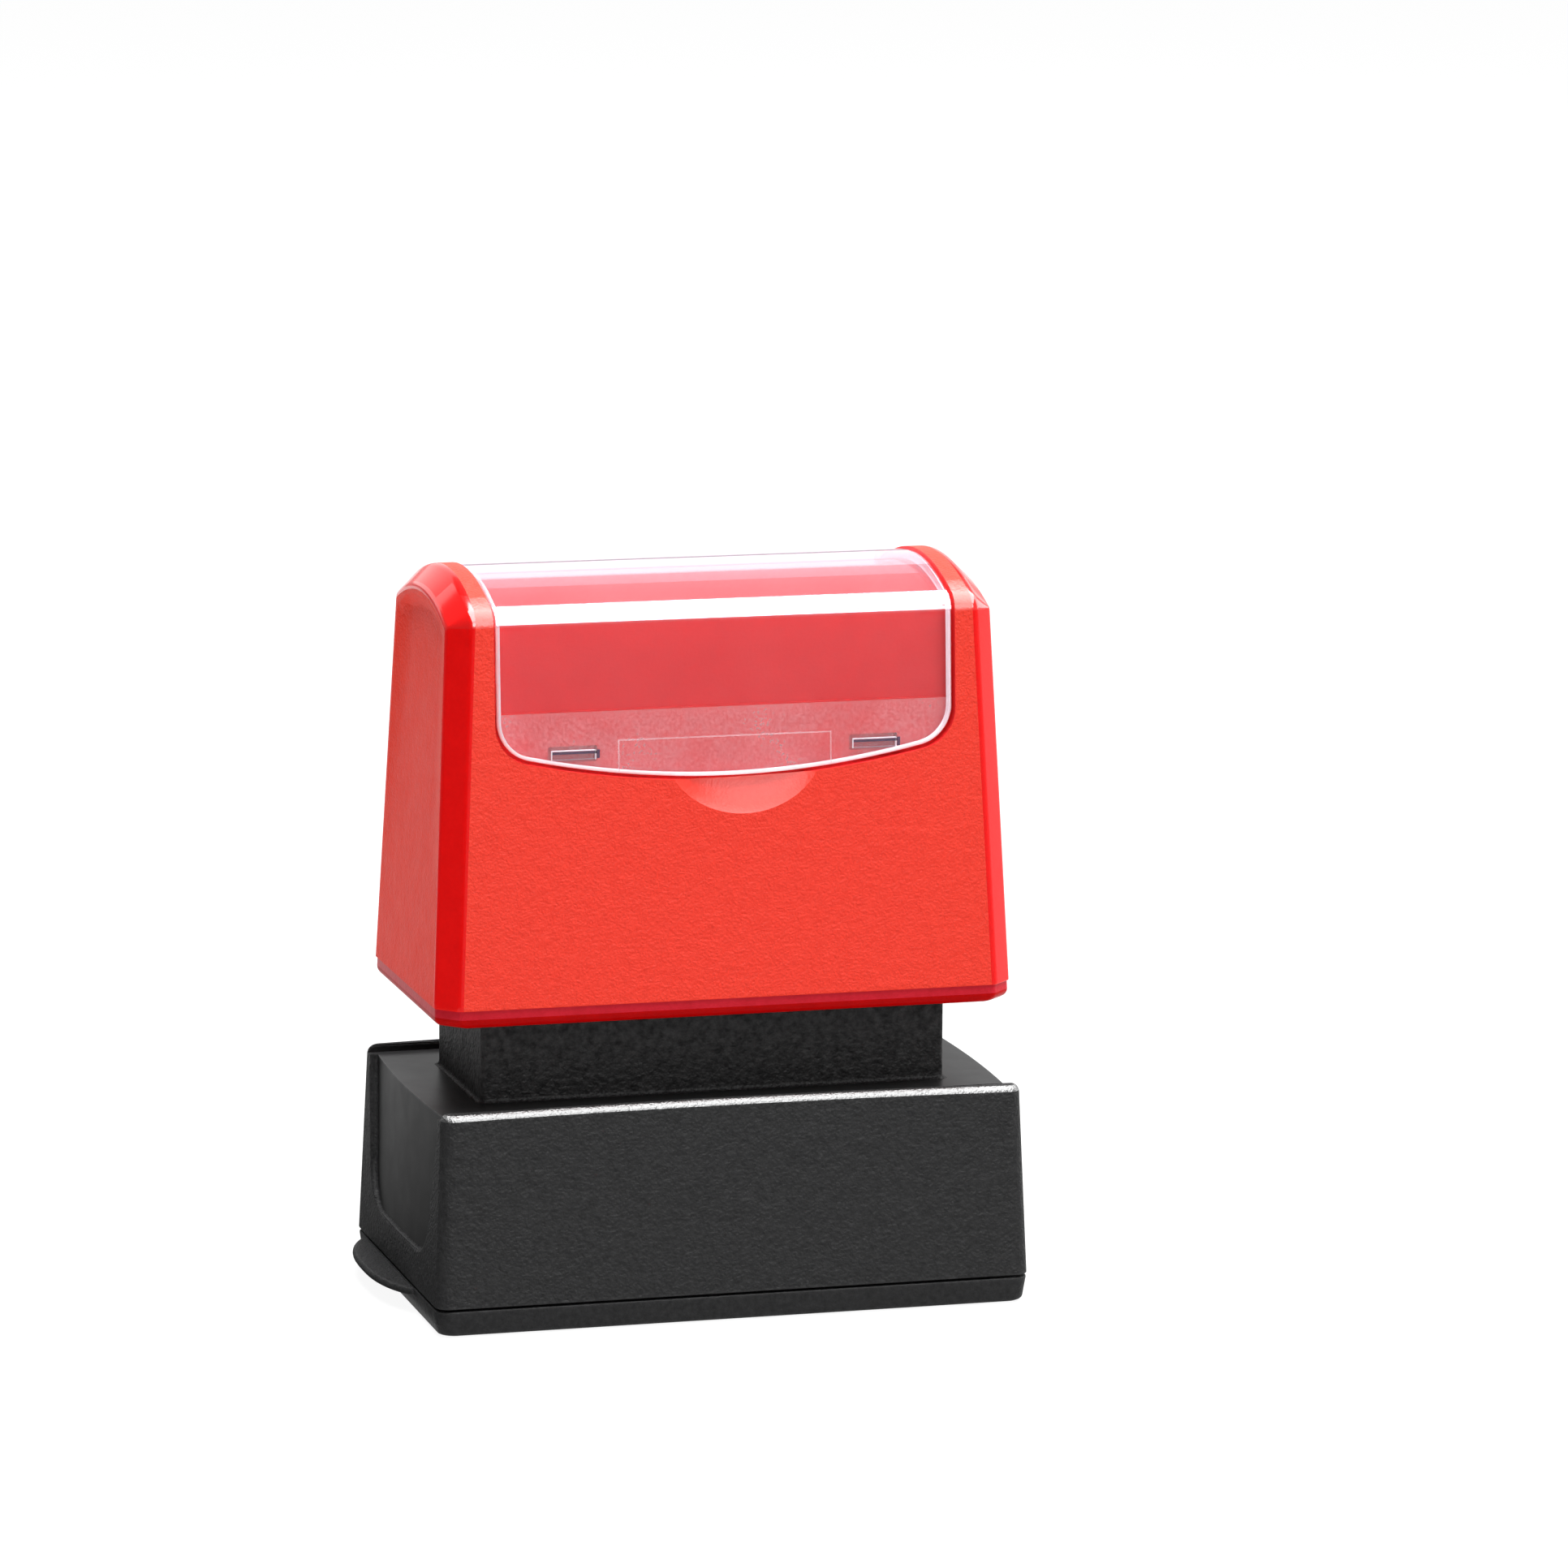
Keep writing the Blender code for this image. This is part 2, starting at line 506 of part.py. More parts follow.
# --- clear label cover ---------------------------------------------------------------------------
def build_cover():
    mat = material("clear_plastic", (0.95, 0.95, 0.97), 0.05, alpha=0.3)
    shell = extruded_outline("cover_outer", arch_outline(COVER_SINK, 45.0), COVER_HALF_L)
    cover = mesh_object("label_cover", shell, mat, smooth_angle=25)
    boolean(cover, window_outline("cover_outline", 0.0), "INTERSECT")
    core = extruded_outline("cover_core", arch_outline(COVER_SINK + COVER_WALL, 40.0), COVER_HALF_L + 3)
    boolean(cover, mesh_object("cover_core", core, cutter=True))
    for y_sign, face in ((-1, "front"), (1, "back")):
        for x_sign, side in ((-1, "left"), (1, "right")):
            y = y_sign * (grip_half_depth(LUG_Z) - COVER_SINK - COVER_WALL + 0.05)
            lug = block(LUG_W / 2, LUG_DEEP + 0.05, LUG_Z - LUG_H / 2, LUG_Z + LUG_H / 2, x=x_sign * LUG_X, y=y)
            boolean(cover, mesh_object(f"lug_{face}_{side}", lug, cutter=True), "UNION")


# --- press mechanism ----------------------------------------------------------------------------
def build_carrier():
    black = material("carrier_plastic", (0.03, 0.03, 0.032), 0.5)
    bm = rounded_block(BED_HALF_L, BED_HALF_D, CARRIER_Z0, CARRIER_Z1 + 0.2, 0.8, 2)
    carrier = mesh_object("die_carrier", bm, black, smooth_angle=35)
    flange = rounded_block(FRAME_HALF_L, FRAME_HALF_D, CARRIER_Z1, CARRIER_FLANGE_Z1, 1.2, 3)
    boolean(carrier, mesh_object("carrier_flange", flange, cutter=True), "UNION")
    for sign, side in ((-1, "left"), (1, "right")):
        boolean(carrier, mesh_object(f"post_{side}", rod(POST_R, CARRIER_Z1, POST_TOP, x=sign * POST_X), cutter=True), "UNION")
        boolean(carrier, mesh_object(f"post_bore_{side}", rod(POST_BORE_R, CARRIER_Z0 - 1, 44.0, x=sign * POST_X), cutter=True))
        boolean(carrier, mesh_object(f"post_neck_{side}", rod(POST_NECK_R, 43.0, POST_TOP + 1, x=sign * POST_X, sides=16), cutter=True))

    steel = material("screw_steel", (0.62, 0.63, 0.65), 0.3, 1.0)
    for sign, side in ((-1, "left"), (1, "right")):
        bm = rod(SCREW_HEAD_R, 41.0, 42.6, x=sign * POST_X, radius_top=SCREW_HEAD_R)
        screw = mesh_object(f"carrier_screw_{side}", bm, steel, smooth_angle=35)
        shank = rod(SCREW_R, 42.0, SCREW_TOP, x=sign * POST_X, sides=16)
        boolean(screw, mesh_object(f"shank_{side}", shank, cutter=True), "UNION")
        for k in (0, 1):
            arm = block(1.5 if k else 0.28, 0.28 if k else 1.5, 40.0, 41.8, x=sign * POST_X)
            boolean(screw, mesh_object(f"cross_{side}_{k}", arm, cutter=True))
        ring = ring_mesh(2.6, SCREW_R + 0.35, 43.0 - 0.1, 43.0 + 0.6)
        washer = mesh_object(f"screw_washer_{side}", ring, steel, smooth_angle=35)
        washer.location.x = sign * POST_X * MM


def ring_mesh(outer, inner, z0, z1, sides=28):
    """A flat ring about Z, turned from a rectangle."""
    mesh = bpy.data.meshes.new("ring_profile")
    bm = bmesh.new()
    corners = [(outer, z1), (outer, z0), (inner, z0), (inner, z1)]
    verts = [bm.verts.new((r * MM, 0, z * MM)) for r, z in corners]
    for i in range(4):
        bm.edges.new((verts[i], verts[(i + 1) % 4]))
    bmesh.ops.spin(bm, geom=bm.verts[:] + bm.edges[:], axis=(0, 0, 1), cent=(0, 0, 0), steps=sides, angle=math.tau, use_merge=True)
    bmesh.ops.remove_doubles(bm, verts=bm.verts, dist=1e-7)
    bpy.data.meshes.remove(mesh)
    return bm


def build_die():
    mesh_object_plate = rounded_block(BED_HALF_L, BED_HALF_D, 14.9, 15.7, 0.8, 2)
    plate = mesh_object("pressure_plate", mesh_object_plate, material("plate_plastic", (0.72, 0.72, 0.7), 0.5), smooth_angle=35)
    for i in range(5):
        for j in range(3):
            hole = rod(1.2, 14, 16.5, x=-18 + 9 * i, y=-7 + 7 * j, sides=12)
            boolean(plate, mesh_object(f"ink_hole_{i}_{j}", hole, cutter=True))

    mesh_object("ink_pad", rounded_block(BED_HALF_L, BED_HALF_D, 12.2, 14.6, 0.8, 2), material("ink_foam", (0.02, 0.02, 0.03), 0.95), smooth_angle=35)

    die = mesh_object(
        "stamp_die",
        rounded_block(DIE_HALF_L, DIE_HALF_D, DIE_FACE_Z, 11.5, 0.6, 2),
        material("die_rubber", (0.35, 0.34, 0.33), 0.8),
        smooth_angle=35,
    )
    boolean(die, mesh_object("die_flange", rounded_block(BED_HALF_L, BED_HALF_D, 11.1, 11.9, 0.8, 2), cutter=True), "UNION")

    frame = mesh_object(
        "die_frame",
        rounded_block(FRAME_HALF_L, FRAME_HALF_D, FRAME_Z0, FRAME_Z1, 1.2, 3),
        material("frame_plastic", (0.03, 0.03, 0.032), 0.45),
        smooth_angle=35,
    )
    inside = rounded_block(FRAME_HALF_L - FRAME_WALL, FRAME_HALF_D - FRAME_WALL, 10.8, FRAME_Z1 + 1, 0.9, 2)
    boolean(frame, mesh_object("frame_inside", inside, cutter=True))
    mouth = rounded_block(DIE_HALF_L + CLEARANCE, DIE_HALF_D + CLEARANCE, FRAME_Z0 - 1, 11.2, 0.7, 2)
    boolean(frame, mesh_object("frame_mouth", mouth, cutter=True))


def build_springs():
    steel = material("spring_steel", (0.6, 0.6, 0.62), 0.28, 1.0)
    pin_steel = material("pin_steel", (0.7, 0.7, 0.72), 0.22, 1.0)
    washer_steel = material("washer_steel", (0.66, 0.66, 0.68), 0.35, 1.0)
    for sign, side in ((-1, "left"), (1, "right")):
        curve = bpy.data.curves.new(f"coil_{side}", "CURVE")
        curve.dimensions = "3D"
        curve.bevel_depth = SPRING_WIRE_R * MM
        curve.bevel_resolution = 2
        curve.use_fill_caps = True
        per_turn = 12
        count = SPRING_TURNS * per_turn
        low, high = SPRING_Z0 + SPRING_WIRE_R, SPRING_Z1 - SPRING_WIRE_R
        dead = 1.0  # turns at each end that lie flat
        rise = 2 * SPRING_WIRE_R + 0.12
        spline = curve.splines.new("POLY")
        spline.points.add(count)
        for i, p in enumerate(spline.points):
            turn = i / per_turn
            if turn < dead:
                z = low + rise * turn
            elif turn > SPRING_TURNS - dead:
                z = high - rise * (SPRING_TURNS - turn)
            else:
                t = (turn - dead) / (SPRING_TURNS - 2 * dead)
                z = low + rise * dead + (high - low - 2 * rise * dead) * t
            a = math.tau * turn
            p.co = (SPRING_R * math.cos(a) * MM, SPRING_R * math.sin(a) * MM, (z - SPRING_Z0) * MM, 1.0)
        spring = bpy.data.objects.new(f"return_spring_{side}", curve)
        curve.materials.append(steel)
        spring.location = Vector((sign * PIN_X, 0, SPRING_Z0)) * MM
        PARTS.objects.link(spring)

        pin = mesh_object(f"guide_pin_{side}", rod(PIN_HEAD_R, PIN_HEAD_Z0, 20.0, x=sign * PIN_X), pin_steel, smooth_angle=35)
        shank = rod(PIN_R, 19.5, PIN_TOP - 0.5, x=sign * PIN_X, sides=20)
        boolean(pin, mesh_object(f"pin_shank_{side}", shank, cutter=True), "UNION")
        tip = rod(PIN_R, PIN_TOP - 0.6, PIN_TOP, x=sign * PIN_X, sides=20, radius_top=PIN_R - 0.5)
        boolean(pin, mesh_object(f"pin_tip_{side}", tip, cutter=True), "UNION")

        washer = mesh_object(f"spring_washer_{side}", ring_mesh(3.7, PIN_R + 0.35, SPRING_Z1 + 0.3, SOCKET_Z0 - 0.3), washer_steel, smooth_angle=35)
        washer.location.x = sign * PIN_X * MM


build_cap()
build_skirt()
build_grip()
build_cover()
build_carrier()
build_die()
build_springs()

# --- motion hierarchy: each moving group hangs from an empty on its own axis -------------------
GROUPS = {
    "skirt_axis": ["skirt_body", "guide_pin_left", "guide_pin_right", "return_spring_left", "return_spring_right"],
    "press_axis": [
        "grip_housing",
        "die_carrier",
        "carrier_screw_left",
        "carrier_screw_right",
        "screw_washer_left",
        "screw_washer_right",
        "spring_washer_left",
        "spring_washer_right",
        "pressure_plate",
        "ink_pad",
        "stamp_die",
        "die_frame",
    ],
    "cover_axis": ["label_cover"],
}
PARENTS = {"press_axis": "skirt_axis", "cover_axis": "press_axis"}
for axis in GROUPS:
    empty = bpy.data.objects.new(axis, None)
    empty.empty_display_size = 0.01
    PARTS.objects.link(empty)
for axis, members in GROUPS.items():
    if axis in PARENTS:
        bpy.data.objects[axis].parent = bpy.data.objects[PARENTS[axis]]
    for member in members:
        bpy.data.objects[member].parent = bpy.data.objects[axis]
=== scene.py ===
"""Looks of the pre-inked hand stamp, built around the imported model. Metres, +Z up; the origin is the centre of the dust cap's underside."""

import math

import bmesh
import bpy
import numpy as np
from mathutils import Matrix, Vector


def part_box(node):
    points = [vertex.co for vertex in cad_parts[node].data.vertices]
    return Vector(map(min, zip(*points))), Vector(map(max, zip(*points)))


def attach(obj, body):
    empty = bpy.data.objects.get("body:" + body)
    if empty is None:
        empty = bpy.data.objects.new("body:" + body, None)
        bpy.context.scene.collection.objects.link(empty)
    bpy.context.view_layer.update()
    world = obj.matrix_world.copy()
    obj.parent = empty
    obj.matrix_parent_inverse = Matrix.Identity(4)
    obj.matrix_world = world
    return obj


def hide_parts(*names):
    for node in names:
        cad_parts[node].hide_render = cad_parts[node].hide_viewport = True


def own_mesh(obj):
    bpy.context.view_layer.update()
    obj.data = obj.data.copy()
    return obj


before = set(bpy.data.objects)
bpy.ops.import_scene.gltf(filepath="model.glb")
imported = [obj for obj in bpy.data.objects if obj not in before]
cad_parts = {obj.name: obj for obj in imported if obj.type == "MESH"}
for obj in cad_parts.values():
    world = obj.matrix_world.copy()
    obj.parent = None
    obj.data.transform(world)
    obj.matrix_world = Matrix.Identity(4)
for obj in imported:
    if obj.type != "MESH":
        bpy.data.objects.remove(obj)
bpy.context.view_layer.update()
MM = 0.001

# --- sizes of the frame's pieces, in millimetres -------------------------------------------------
CAP_L, CAP_D, CAP_H = 31.5, 19.15, 2.65
SKIRT_Z0, RAIL_TOP, RAIL_CROWN = 2.9, 22.85, 0.3
SKIRT_TL, SKIRT_TD = 30.7, 18.25
DECK_TOP, DECK_UNDER = 22.1, 20.3
RAIL_WALL = 1.45
TOWER_L, TOWER_D, TOWER_TOP, TOWER_WALL = 24.7, 9.85, 44.0, 1.5
GRIP_Z0, STEP_Z, SHOULDER_Z = 31.2, 33.1, 71.75
L0, D0, L1, D1 = 30.66, 16.07, 28.77, 13.6
ARCH_R, ARCH_PEAK, SHOULDER_R = 30.5, 76.4, 2.1
RIM_INSET, CHAMFER = 0.17, 2.15
COVER_L, COVER_WALL, COVER_SINK = 24.0, 0.95, 0.25
COVER_LOW, COVER_RISE, COVER_CORNER = 56.0, 2.2, 4.2
LABEL_Z, GAP = 63.0, 0.3
LUG_X, LUG_Z, LUG_W, LUG_H = 15.9, 58.6, 4.6, 1.0
POST_X, PIN_X = 8.0, 17.0
SPRING_R, SPRING_WIRE, SPRING_TURNS, SPRING_Z0, SPRING_Z1 = 2.7, 0.36, 10, 22.4, 50.9


# --- camera ------------------------------------------------------------------------------------------
def make_camera():
    """A 36 mm sensor, 0.79 m from the stamp, 15 degrees to its left and 11.4 degrees above."""
    focal_px, az, el, roll = 9372.1, math.radians(14.969), math.radians(11.419), math.radians(0.233)
    look = Vector((math.sin(az) * math.cos(el), math.cos(az) * math.cos(el), -math.sin(el)))
    right = Vector((math.cos(az), -math.sin(az), 0.0))
    up = right.cross(look)
    r = right * math.cos(roll) + up * math.sin(roll)
    u = -right * math.sin(roll) + up * math.cos(roll)
    a, b = math.atan(-115.23 / focal_px), math.atan(169.56 / focal_px)
    x = r * math.cos(a) + look * math.sin(a)
    fwd = -r * math.sin(a) + look * math.cos(a)
    y = u * math.cos(b) - fwd * math.sin(b)
    z = u * math.sin(b) + fwd * math.cos(b)
    data = bpy.data.cameras.new("camera")
    data.sensor_fit = "HORIZONTAL"
    data.sensor_width = 36.0
    data.lens = focal_px / 1932 * 36.0
    data.clip_start, data.clip_end = 0.05, 20.0
    cam = bpy.data.objects.new("camera", data)
    cam.matrix_world = Matrix(
        ((x.x, y.x, -z.x, -0.20070), (x.y, y.y, -z.y, -0.75065), (x.z, y.z, -z.z, 0.19494), (0, 0, 0, 1))
    )
    bpy.context.scene.collection.objects.link(cam)
    bpy.context.scene.camera = cam


make_camera()


# --- node helpers ------------------------------------------------------------------------------------
def new_material(name):
    mat = bpy.data.materials.new(name)
    mat.use_nodes = True
    tree = mat.node_tree
    shader = tree.nodes["Principled BSDF"]
    return mat, tree, shader


def node(tree, kind, **values):
    made = tree.nodes.new(kind)
    for key, value in values.items():
        if key in made.inputs:
            made.inputs[key].default_value = value
        else:
            setattr(made, key, value)
    return made


def coords(tree):
    return tree.nodes.new("ShaderNodeTexCoord").outputs["Object"]


def noise(tree, where, scale, detail=2.0, rough=0.5, distort=0.0):
    made = node(tree, "ShaderNodeTexNoise")
    made.inputs["Scale"].default_value = scale
    made.inputs["Detail"].default_value = detail
    made.inputs["Roughness"].default_value = rough
    made.inputs["Distortion"].default_value = distort
    tree.links.new(where, made.inputs["Vector"])
    return made.outputs["Fac"]


def ramp(tree, fac, stops):
    """A colour ramp: stops are (position, colour)."""
    made = node(tree, "ShaderNodeValToRGB")
    tree.links.new(fac, made.inputs["Fac"])
    elements = made.color_ramp.elements
    while len(elements) < len(stops):
        elements.new(0.5)
    for e, (place, colour) in zip(elements, stops):
        e.position = place
        e.color = (*colour, 1.0)
    return made.outputs["Color"]


def remap(tree, fac, a, b, c, d):
    made = node(tree, "ShaderNodeMapRange")
    for key, value in (("From Min", a), ("From Max", b), ("To Min", c), ("To Max", d)):
        made.inputs[key].default_value = value
    tree.links.new(fac, made.inputs["Value"])
    return made.outputs["Result"]


def mathop(tree, op, a, b):
    made = node(tree, "ShaderNodeMath", operation=op)
    for i, value in enumerate((a, b)):
        if isinstance(value, (int, float)):
            made.inputs[i].default_value = value
        else:
            tree.links.new(value, made.inputs[i])
    return made.outputs["Value"]


def bump(tree, height, strength, distance, before=None):
    made = node(tree, "ShaderNodeBump")
    made.inputs["Strength"].default_value = strength
    made.inputs["Distance"].default_value = distance
    tree.links.new(height, made.inputs["Height"])
    if before is not None:
        tree.links.new(before, made.inputs["Normal"])
    return made.outputs["Normal"]


def plastic(name, dark, light, rough, grain=0.0, grain_mm=0.25, wear=None, ior=1.46, cloud=1.7, scratches=0.0, spec=0.5):
    """A moulded plastic: a little colour variation, a spark-eroded grain of grain_mm, uneven gloss, and edges that are a little paler."""
    mat, tree, shader = new_material(name)
    links = tree.links
    where = coords(tree)
    soft = noise(tree, where, 1000.0 / cloud, 3.0)
    fine = noise(tree, where, 1000.0 / (grain_mm * 1.6), 2.0, 0.6)
    mixed = mathop(tree, "ADD", mathop(tree, "MULTIPLY", soft, 0.55), mathop(tree, "MULTIPLY", fine, 0.45))
    colour = ramp(tree, mixed, [(0.36, dark), (0.64, light)])
    if wear is not None:
        rounded = node(tree, "ShaderNodeBevel", samples=4)
        rounded.inputs["Radius"].default_value = 0.0005
        flat = node(tree, "ShaderNodeNewGeometry")
        same = node(tree, "ShaderNodeVectorMath", operation="DOT_PRODUCT")
        links.new(rounded.outputs["Normal"], same.inputs[0])
        links.new(flat.outputs["Normal"], same.inputs[1])
        edge = remap(tree, same.outputs["Value"], 0.985, 0.80, 0.0, 1.0)
        patchy = mathop(tree, "MULTIPLY", edge, remap(tree, noise(tree, where, 900.0, 2.0), 0.35, 0.65, 0.25, 1.0))
        mix = node(tree, "ShaderNodeMix", data_type="RGBA")
        links.new(patchy, mix.inputs["Factor"])
        links.new(colour, mix.inputs["A"])
        mix.inputs["B"].default_value = (*wear, 1.0)
        colour = mix.outputs["Result"]
    links.new(colour, shader.inputs["Base Color"])
    links.new(remap(tree, noise(tree, where, 260.0, 3.0), 0.3, 0.7, rough * 0.94, rough * 1.07), shader.inputs["Roughness"])
    shader.inputs["IOR"].default_value = ior
    shader.inputs["Specular IOR Level"].default_value = spec
    if grain > 0:
        pits = noise(tree, where, 1000.0 / grain_mm, 1.5, 0.55)
        normal = bump(tree, pits, min(1.0, grain), grain_mm * 0.00045)
        wide = noise(tree, where, 1000.0 / (grain_mm * 4.5), 2.0, 0.5)
        normal = bump(tree, wide, min(1.0, grain * 0.6), grain_mm * 0.0006, normal)
        links.new(normal, shader.inputs["Normal"])
    elif scratches > 0:
        links.new(bump(tree, noise(tree, where, 420.0, 3.0), scratches, 0.00002), shader.inputs["Normal"])
    return mat


RED_D, RED_L = (0.79, 0.0370, 0.0195), (0.84, 0.0445, 0.0243)
grip_grain = plastic("grip_textured", RED_D, RED_L, 0.46, grain=0.9, grain_mm=0.27, spec=0.10, cloud=0.9)
grip_gloss = plastic("grip_polished", (0.74, 0.0008, 0.0008), (0.80, 0.0014, 0.0012), 0.14, wear=(0.90, 0.02, 0.01), spec=0.22, scratches=0.12)
# the inset band below the step in a darker crimson, and its rounded underside darker still: painted shade on the same
# red plastic
grip_rim = plastic("grip_rim", (0.50, 0.009, 0.020), (0.57, 0.013, 0.028), 0.30, grain=0.2, grain_mm=0.3, spec=0.08)
grip_underside_painted_shade = plastic("grip_rim_bevel", (0.40, 0.0008, 0.0010), (0.46, 0.0012, 0.0014), 0.30, grain=0.2, grain_mm=0.3, spec=0.04)
grip_inside = plastic("grip_inside", (0.62, 0.015, 0.012), (0.72, 0.022, 0.016), 0.40, grain=0.25, grain_mm=0.3, spec=0.2)
# a dark red for the top faces inside the lug slots: painted shade
grip_slot_painted_shade = plastic("grip_slot_painted_shade", (0.10, 0.010, 0.020), (0.16, 0.016, 0.030), 0.55, grain=0.25, grain_mm=0.3, spec=0.1)
grip_label = plastic("grip_pocket", (0.77, 0.026, 0.027), (0.82, 0.031, 0.031), 0.40, grain=0.10, grain_mm=0.30, spec=0.12, cloud=2.2)
grip_soft = plastic("grip_satin", (0.79, 0.034, 0.018), (0.84, 0.042, 0.023), 0.25, grain=0.25, grain_mm=0.26, spec=0.60, cloud=0.9)
grip_dish = plastic("grip_dish", (0.79, 0.034, 0.018), (0.84, 0.042, 0.023), 0.30, grain=0.25, grain_mm=0.26, spec=0.30, cloud=0.9)
grip_corner = plastic("grip_corner", (0.74, 0.0008, 0.0008), (0.80, 0.0014, 0.0012), 0.12, spec=1.0, scratches=0.12)
BLACK_D, BLACK_L = (0.0205, 0.0205, 0.0209), (0.0310, 0.0310, 0.0315)
skirt_grain = plastic("skirt_textured", BLACK_D, BLACK_L, 0.44, grain=1.0, grain_mm=0.34, wear=(0.050, 0.050, 0.051), spec=0.06, cloud=0.7)
skirt_gloss = plastic("skirt_polished", (0.0130, 0.0130, 0.0133), (0.0180, 0.0180, 0.0183), 0.36, scratches=0.06, wear=(0.045, 0.045, 0.046), spec=0.13)
skirt_recess = plastic("skirt_recess", (0.0105, 0.0105, 0.0108), (0.0150, 0.0150, 0.0153), 0.40, scratches=0.04, wear=(0.075, 0.075, 0.076), spec=0.13)
skirt_edge = plastic("skirt_edge", (0.022, 0.022, 0.0223), (0.034, 0.034, 0.0343), 0.36, grain=1.0, grain_mm=0.24, spec=1.0, ior=1.62)
tower_grain = plastic("tower_textured", (0.0150, 0.0150, 0.0153), (0.0500, 0.0500, 0.0505), 0.50, grain=1.0, grain_mm=0.42, spec=0.07, cloud=0.9)
cap_mat = plastic("cap_textured", BLACK_D, BLACK_L, 0.44, grain=0.8, grain_mm=0.26, wear=(0.055, 0.055, 0.056), spec=0.05, cloud=0.7)


def clear_plastic(name, haze, tint, low=0.012, rough=0.02, veil=(0.96, 0.90, 0.94), grain=0.0):
    """A thin clear wall: light goes straight through, with a Fresnel reflection and a little haze."""
    mat = bpy.data.materials.new(name)
    mat.use_nodes = True
    tree = mat.node_tree
    tree.nodes.clear()
    links = tree.links
    out = node(tree, "ShaderNodeOutputMaterial")
    where = coords(tree)
    see = node(tree, "ShaderNodeBsdfTransparent")
    see.inputs["Color"].default_value = (*tint, 1.0)
    milk = node(tree, "ShaderNodeBsdfDiffuse")
    milk.inputs["Color"].default_value = (*veil, 1.0)
    gloss = node(tree, "ShaderNodeBsdfGlossy")
    gloss.inputs["Color"].default_value = (0.93, 0.82, 0.90, 1.0)
    links.new(remap(tree, noise(tree, where, 150.0, 2.0), 0.3, 0.7, rough, rough * 2.2), gloss.inputs["Roughness"])
    smear = noise(tree, where, 120.0, 4.0, 0.6, 0.6)
    amount = remap(tree, smear, 0.3, 0.7, haze * 0.7, haze * 1.3)
    if grain > 0:
        speck = remap(tree, noise(tree, where, 3400.0, 1.0), 0.3, 0.7, 1.0 - grain, 1.0 + grain)
        amount = mathop(tree, "MULTIPLY", amount, speck)
    body = node(tree, "ShaderNodeMixShader")
    links.new(amount, body.inputs["Fac"])
    links.new(see.outputs[0], body.inputs[1])
    links.new(milk.outputs[0], body.inputs[2])
    # Schlick's curve on the facing term, which is the same from both sides of the wall
    facing = node(tree, "ShaderNodeLayerWeight")
    facing.inputs["Blend"].default_value = 0.5
    curve = mathop(tree, "POWER", facing.outputs["Facing"], 3.0)
    base = low
    reflect = mathop(tree, "ADD", mathop(tree, "MULTIPLY", curve, 1 - base), base)
    waves = bump(tree, noise(tree, where, 200.0, 2.0), 0.02, 0.00001)
    links.new(waves, gloss.inputs["Normal"])
    whole = node(tree, "ShaderNodeMixShader")
    links.new(reflect, whole.inputs["Fac"])
    links.new(body.outputs[0], whole.inputs[1])
    links.new(gloss.outputs[0], whole.inputs[2])
    links.new(whole.outputs[0], out.inputs["Surface"])
    return mat


cover_clear = clear_plastic("clear_plastic", 0.012, (0.992, 0.965, 0.978))
# a near-opaque milky white for the cover's rims, the lugs' sides and the white lines by the lugs: painted highlight
# along the clear edges
cover_edge_painted_highlight = clear_plastic("clear_edge_painted_highlight", 0.92, (0.98, 0.95, 0.97), low=0.05, rough=0.08, veil=(1.0, 0.96, 0.99))
cover_frost = clear_plastic("clear_frosted", 0.185, (0.998, 0.955, 0.965), rough=0.12, veil=(1.0, 0.84, 0.86), grain=0.30)
cover_arch = clear_plastic("clear_arch", 0.022, (0.975, 0.925, 0.955), veil=(1.0, 0.93, 0.96))
cover_bend = clear_plastic("clear_bend", 0.05, (0.975, 0.925, 0.955), low=0.105, veil=(1.0, 0.93, 0.96))
# a dark milky clear material for the strips by the lugs: painted shadow
cover_painted_shadow = clear_plastic("clear_painted_shadow", 0.80, (0.5, 0.4, 0.5), rough=0.2, veil=(0.12, 0.07, 0.13))


# --- mesh helpers ------------------------------------------------------------------------------------
def link(obj):
    bpy.context.scene.collection.objects.link(obj)
    return obj


def from_bmesh(name, bm, mats=()):
    mesh = bpy.data.meshes.new(name)
    bm.to_mesh(mesh)
    bm.free()
    for m in mats:
        mesh.materials.append(m)
    return link(bpy.data.objects.new(name, mesh))


def scaled(bm):
    bmesh.ops.scale(bm, vec=(MM, MM, MM), verts=bm.verts)
    return bm


def skin(bm, rows, closed, flip=False):
    """Quads between successive rows of verts; closed joins each row's ends."""
    for a, b in zip(rows, rows[1:]):
        n = len(a)
        for i in range(n if closed else n - 1):
            j = (i + 1) % n
            quad = [a[i], a[j], b[j], b[i]]
            quad = [v for k, v in enumerate(quad) if v not in quad[:k]]
            if len(quad) > 2:
                bm.faces.new(list(reversed(quad)) if flip else quad)


def evaluate(obj):
    """The object's mesh with its modifiers applied, as a new bmesh."""
    bpy.context.view_layer.update()
    graph = bpy.context.evaluated_depsgraph_get()
    mesh = bpy.data.meshes.new_from_object(obj.evaluated_get(graph))
    bm = bmesh.new()
    bm.from_mesh(mesh)
    bpy.data.meshes.remove(mesh)
    return bm


def cut(obj, cutters, operation="DIFFERENCE"):
    """Applies Booleans with these objects, one after another, and removes them."""
    for c in cutters:
        mod = obj.modifiers.new("cut", "BOOLEAN")
        mod.operation = operation
        mod.solver = "EXACT"
        mod.object = c
        bm = evaluate(obj)
        obj.modifiers.clear()
        bm.to_mesh(obj.data)
        bm.free()
    for c in cutters:
        bpy.data.objects.remove(c)
    return obj


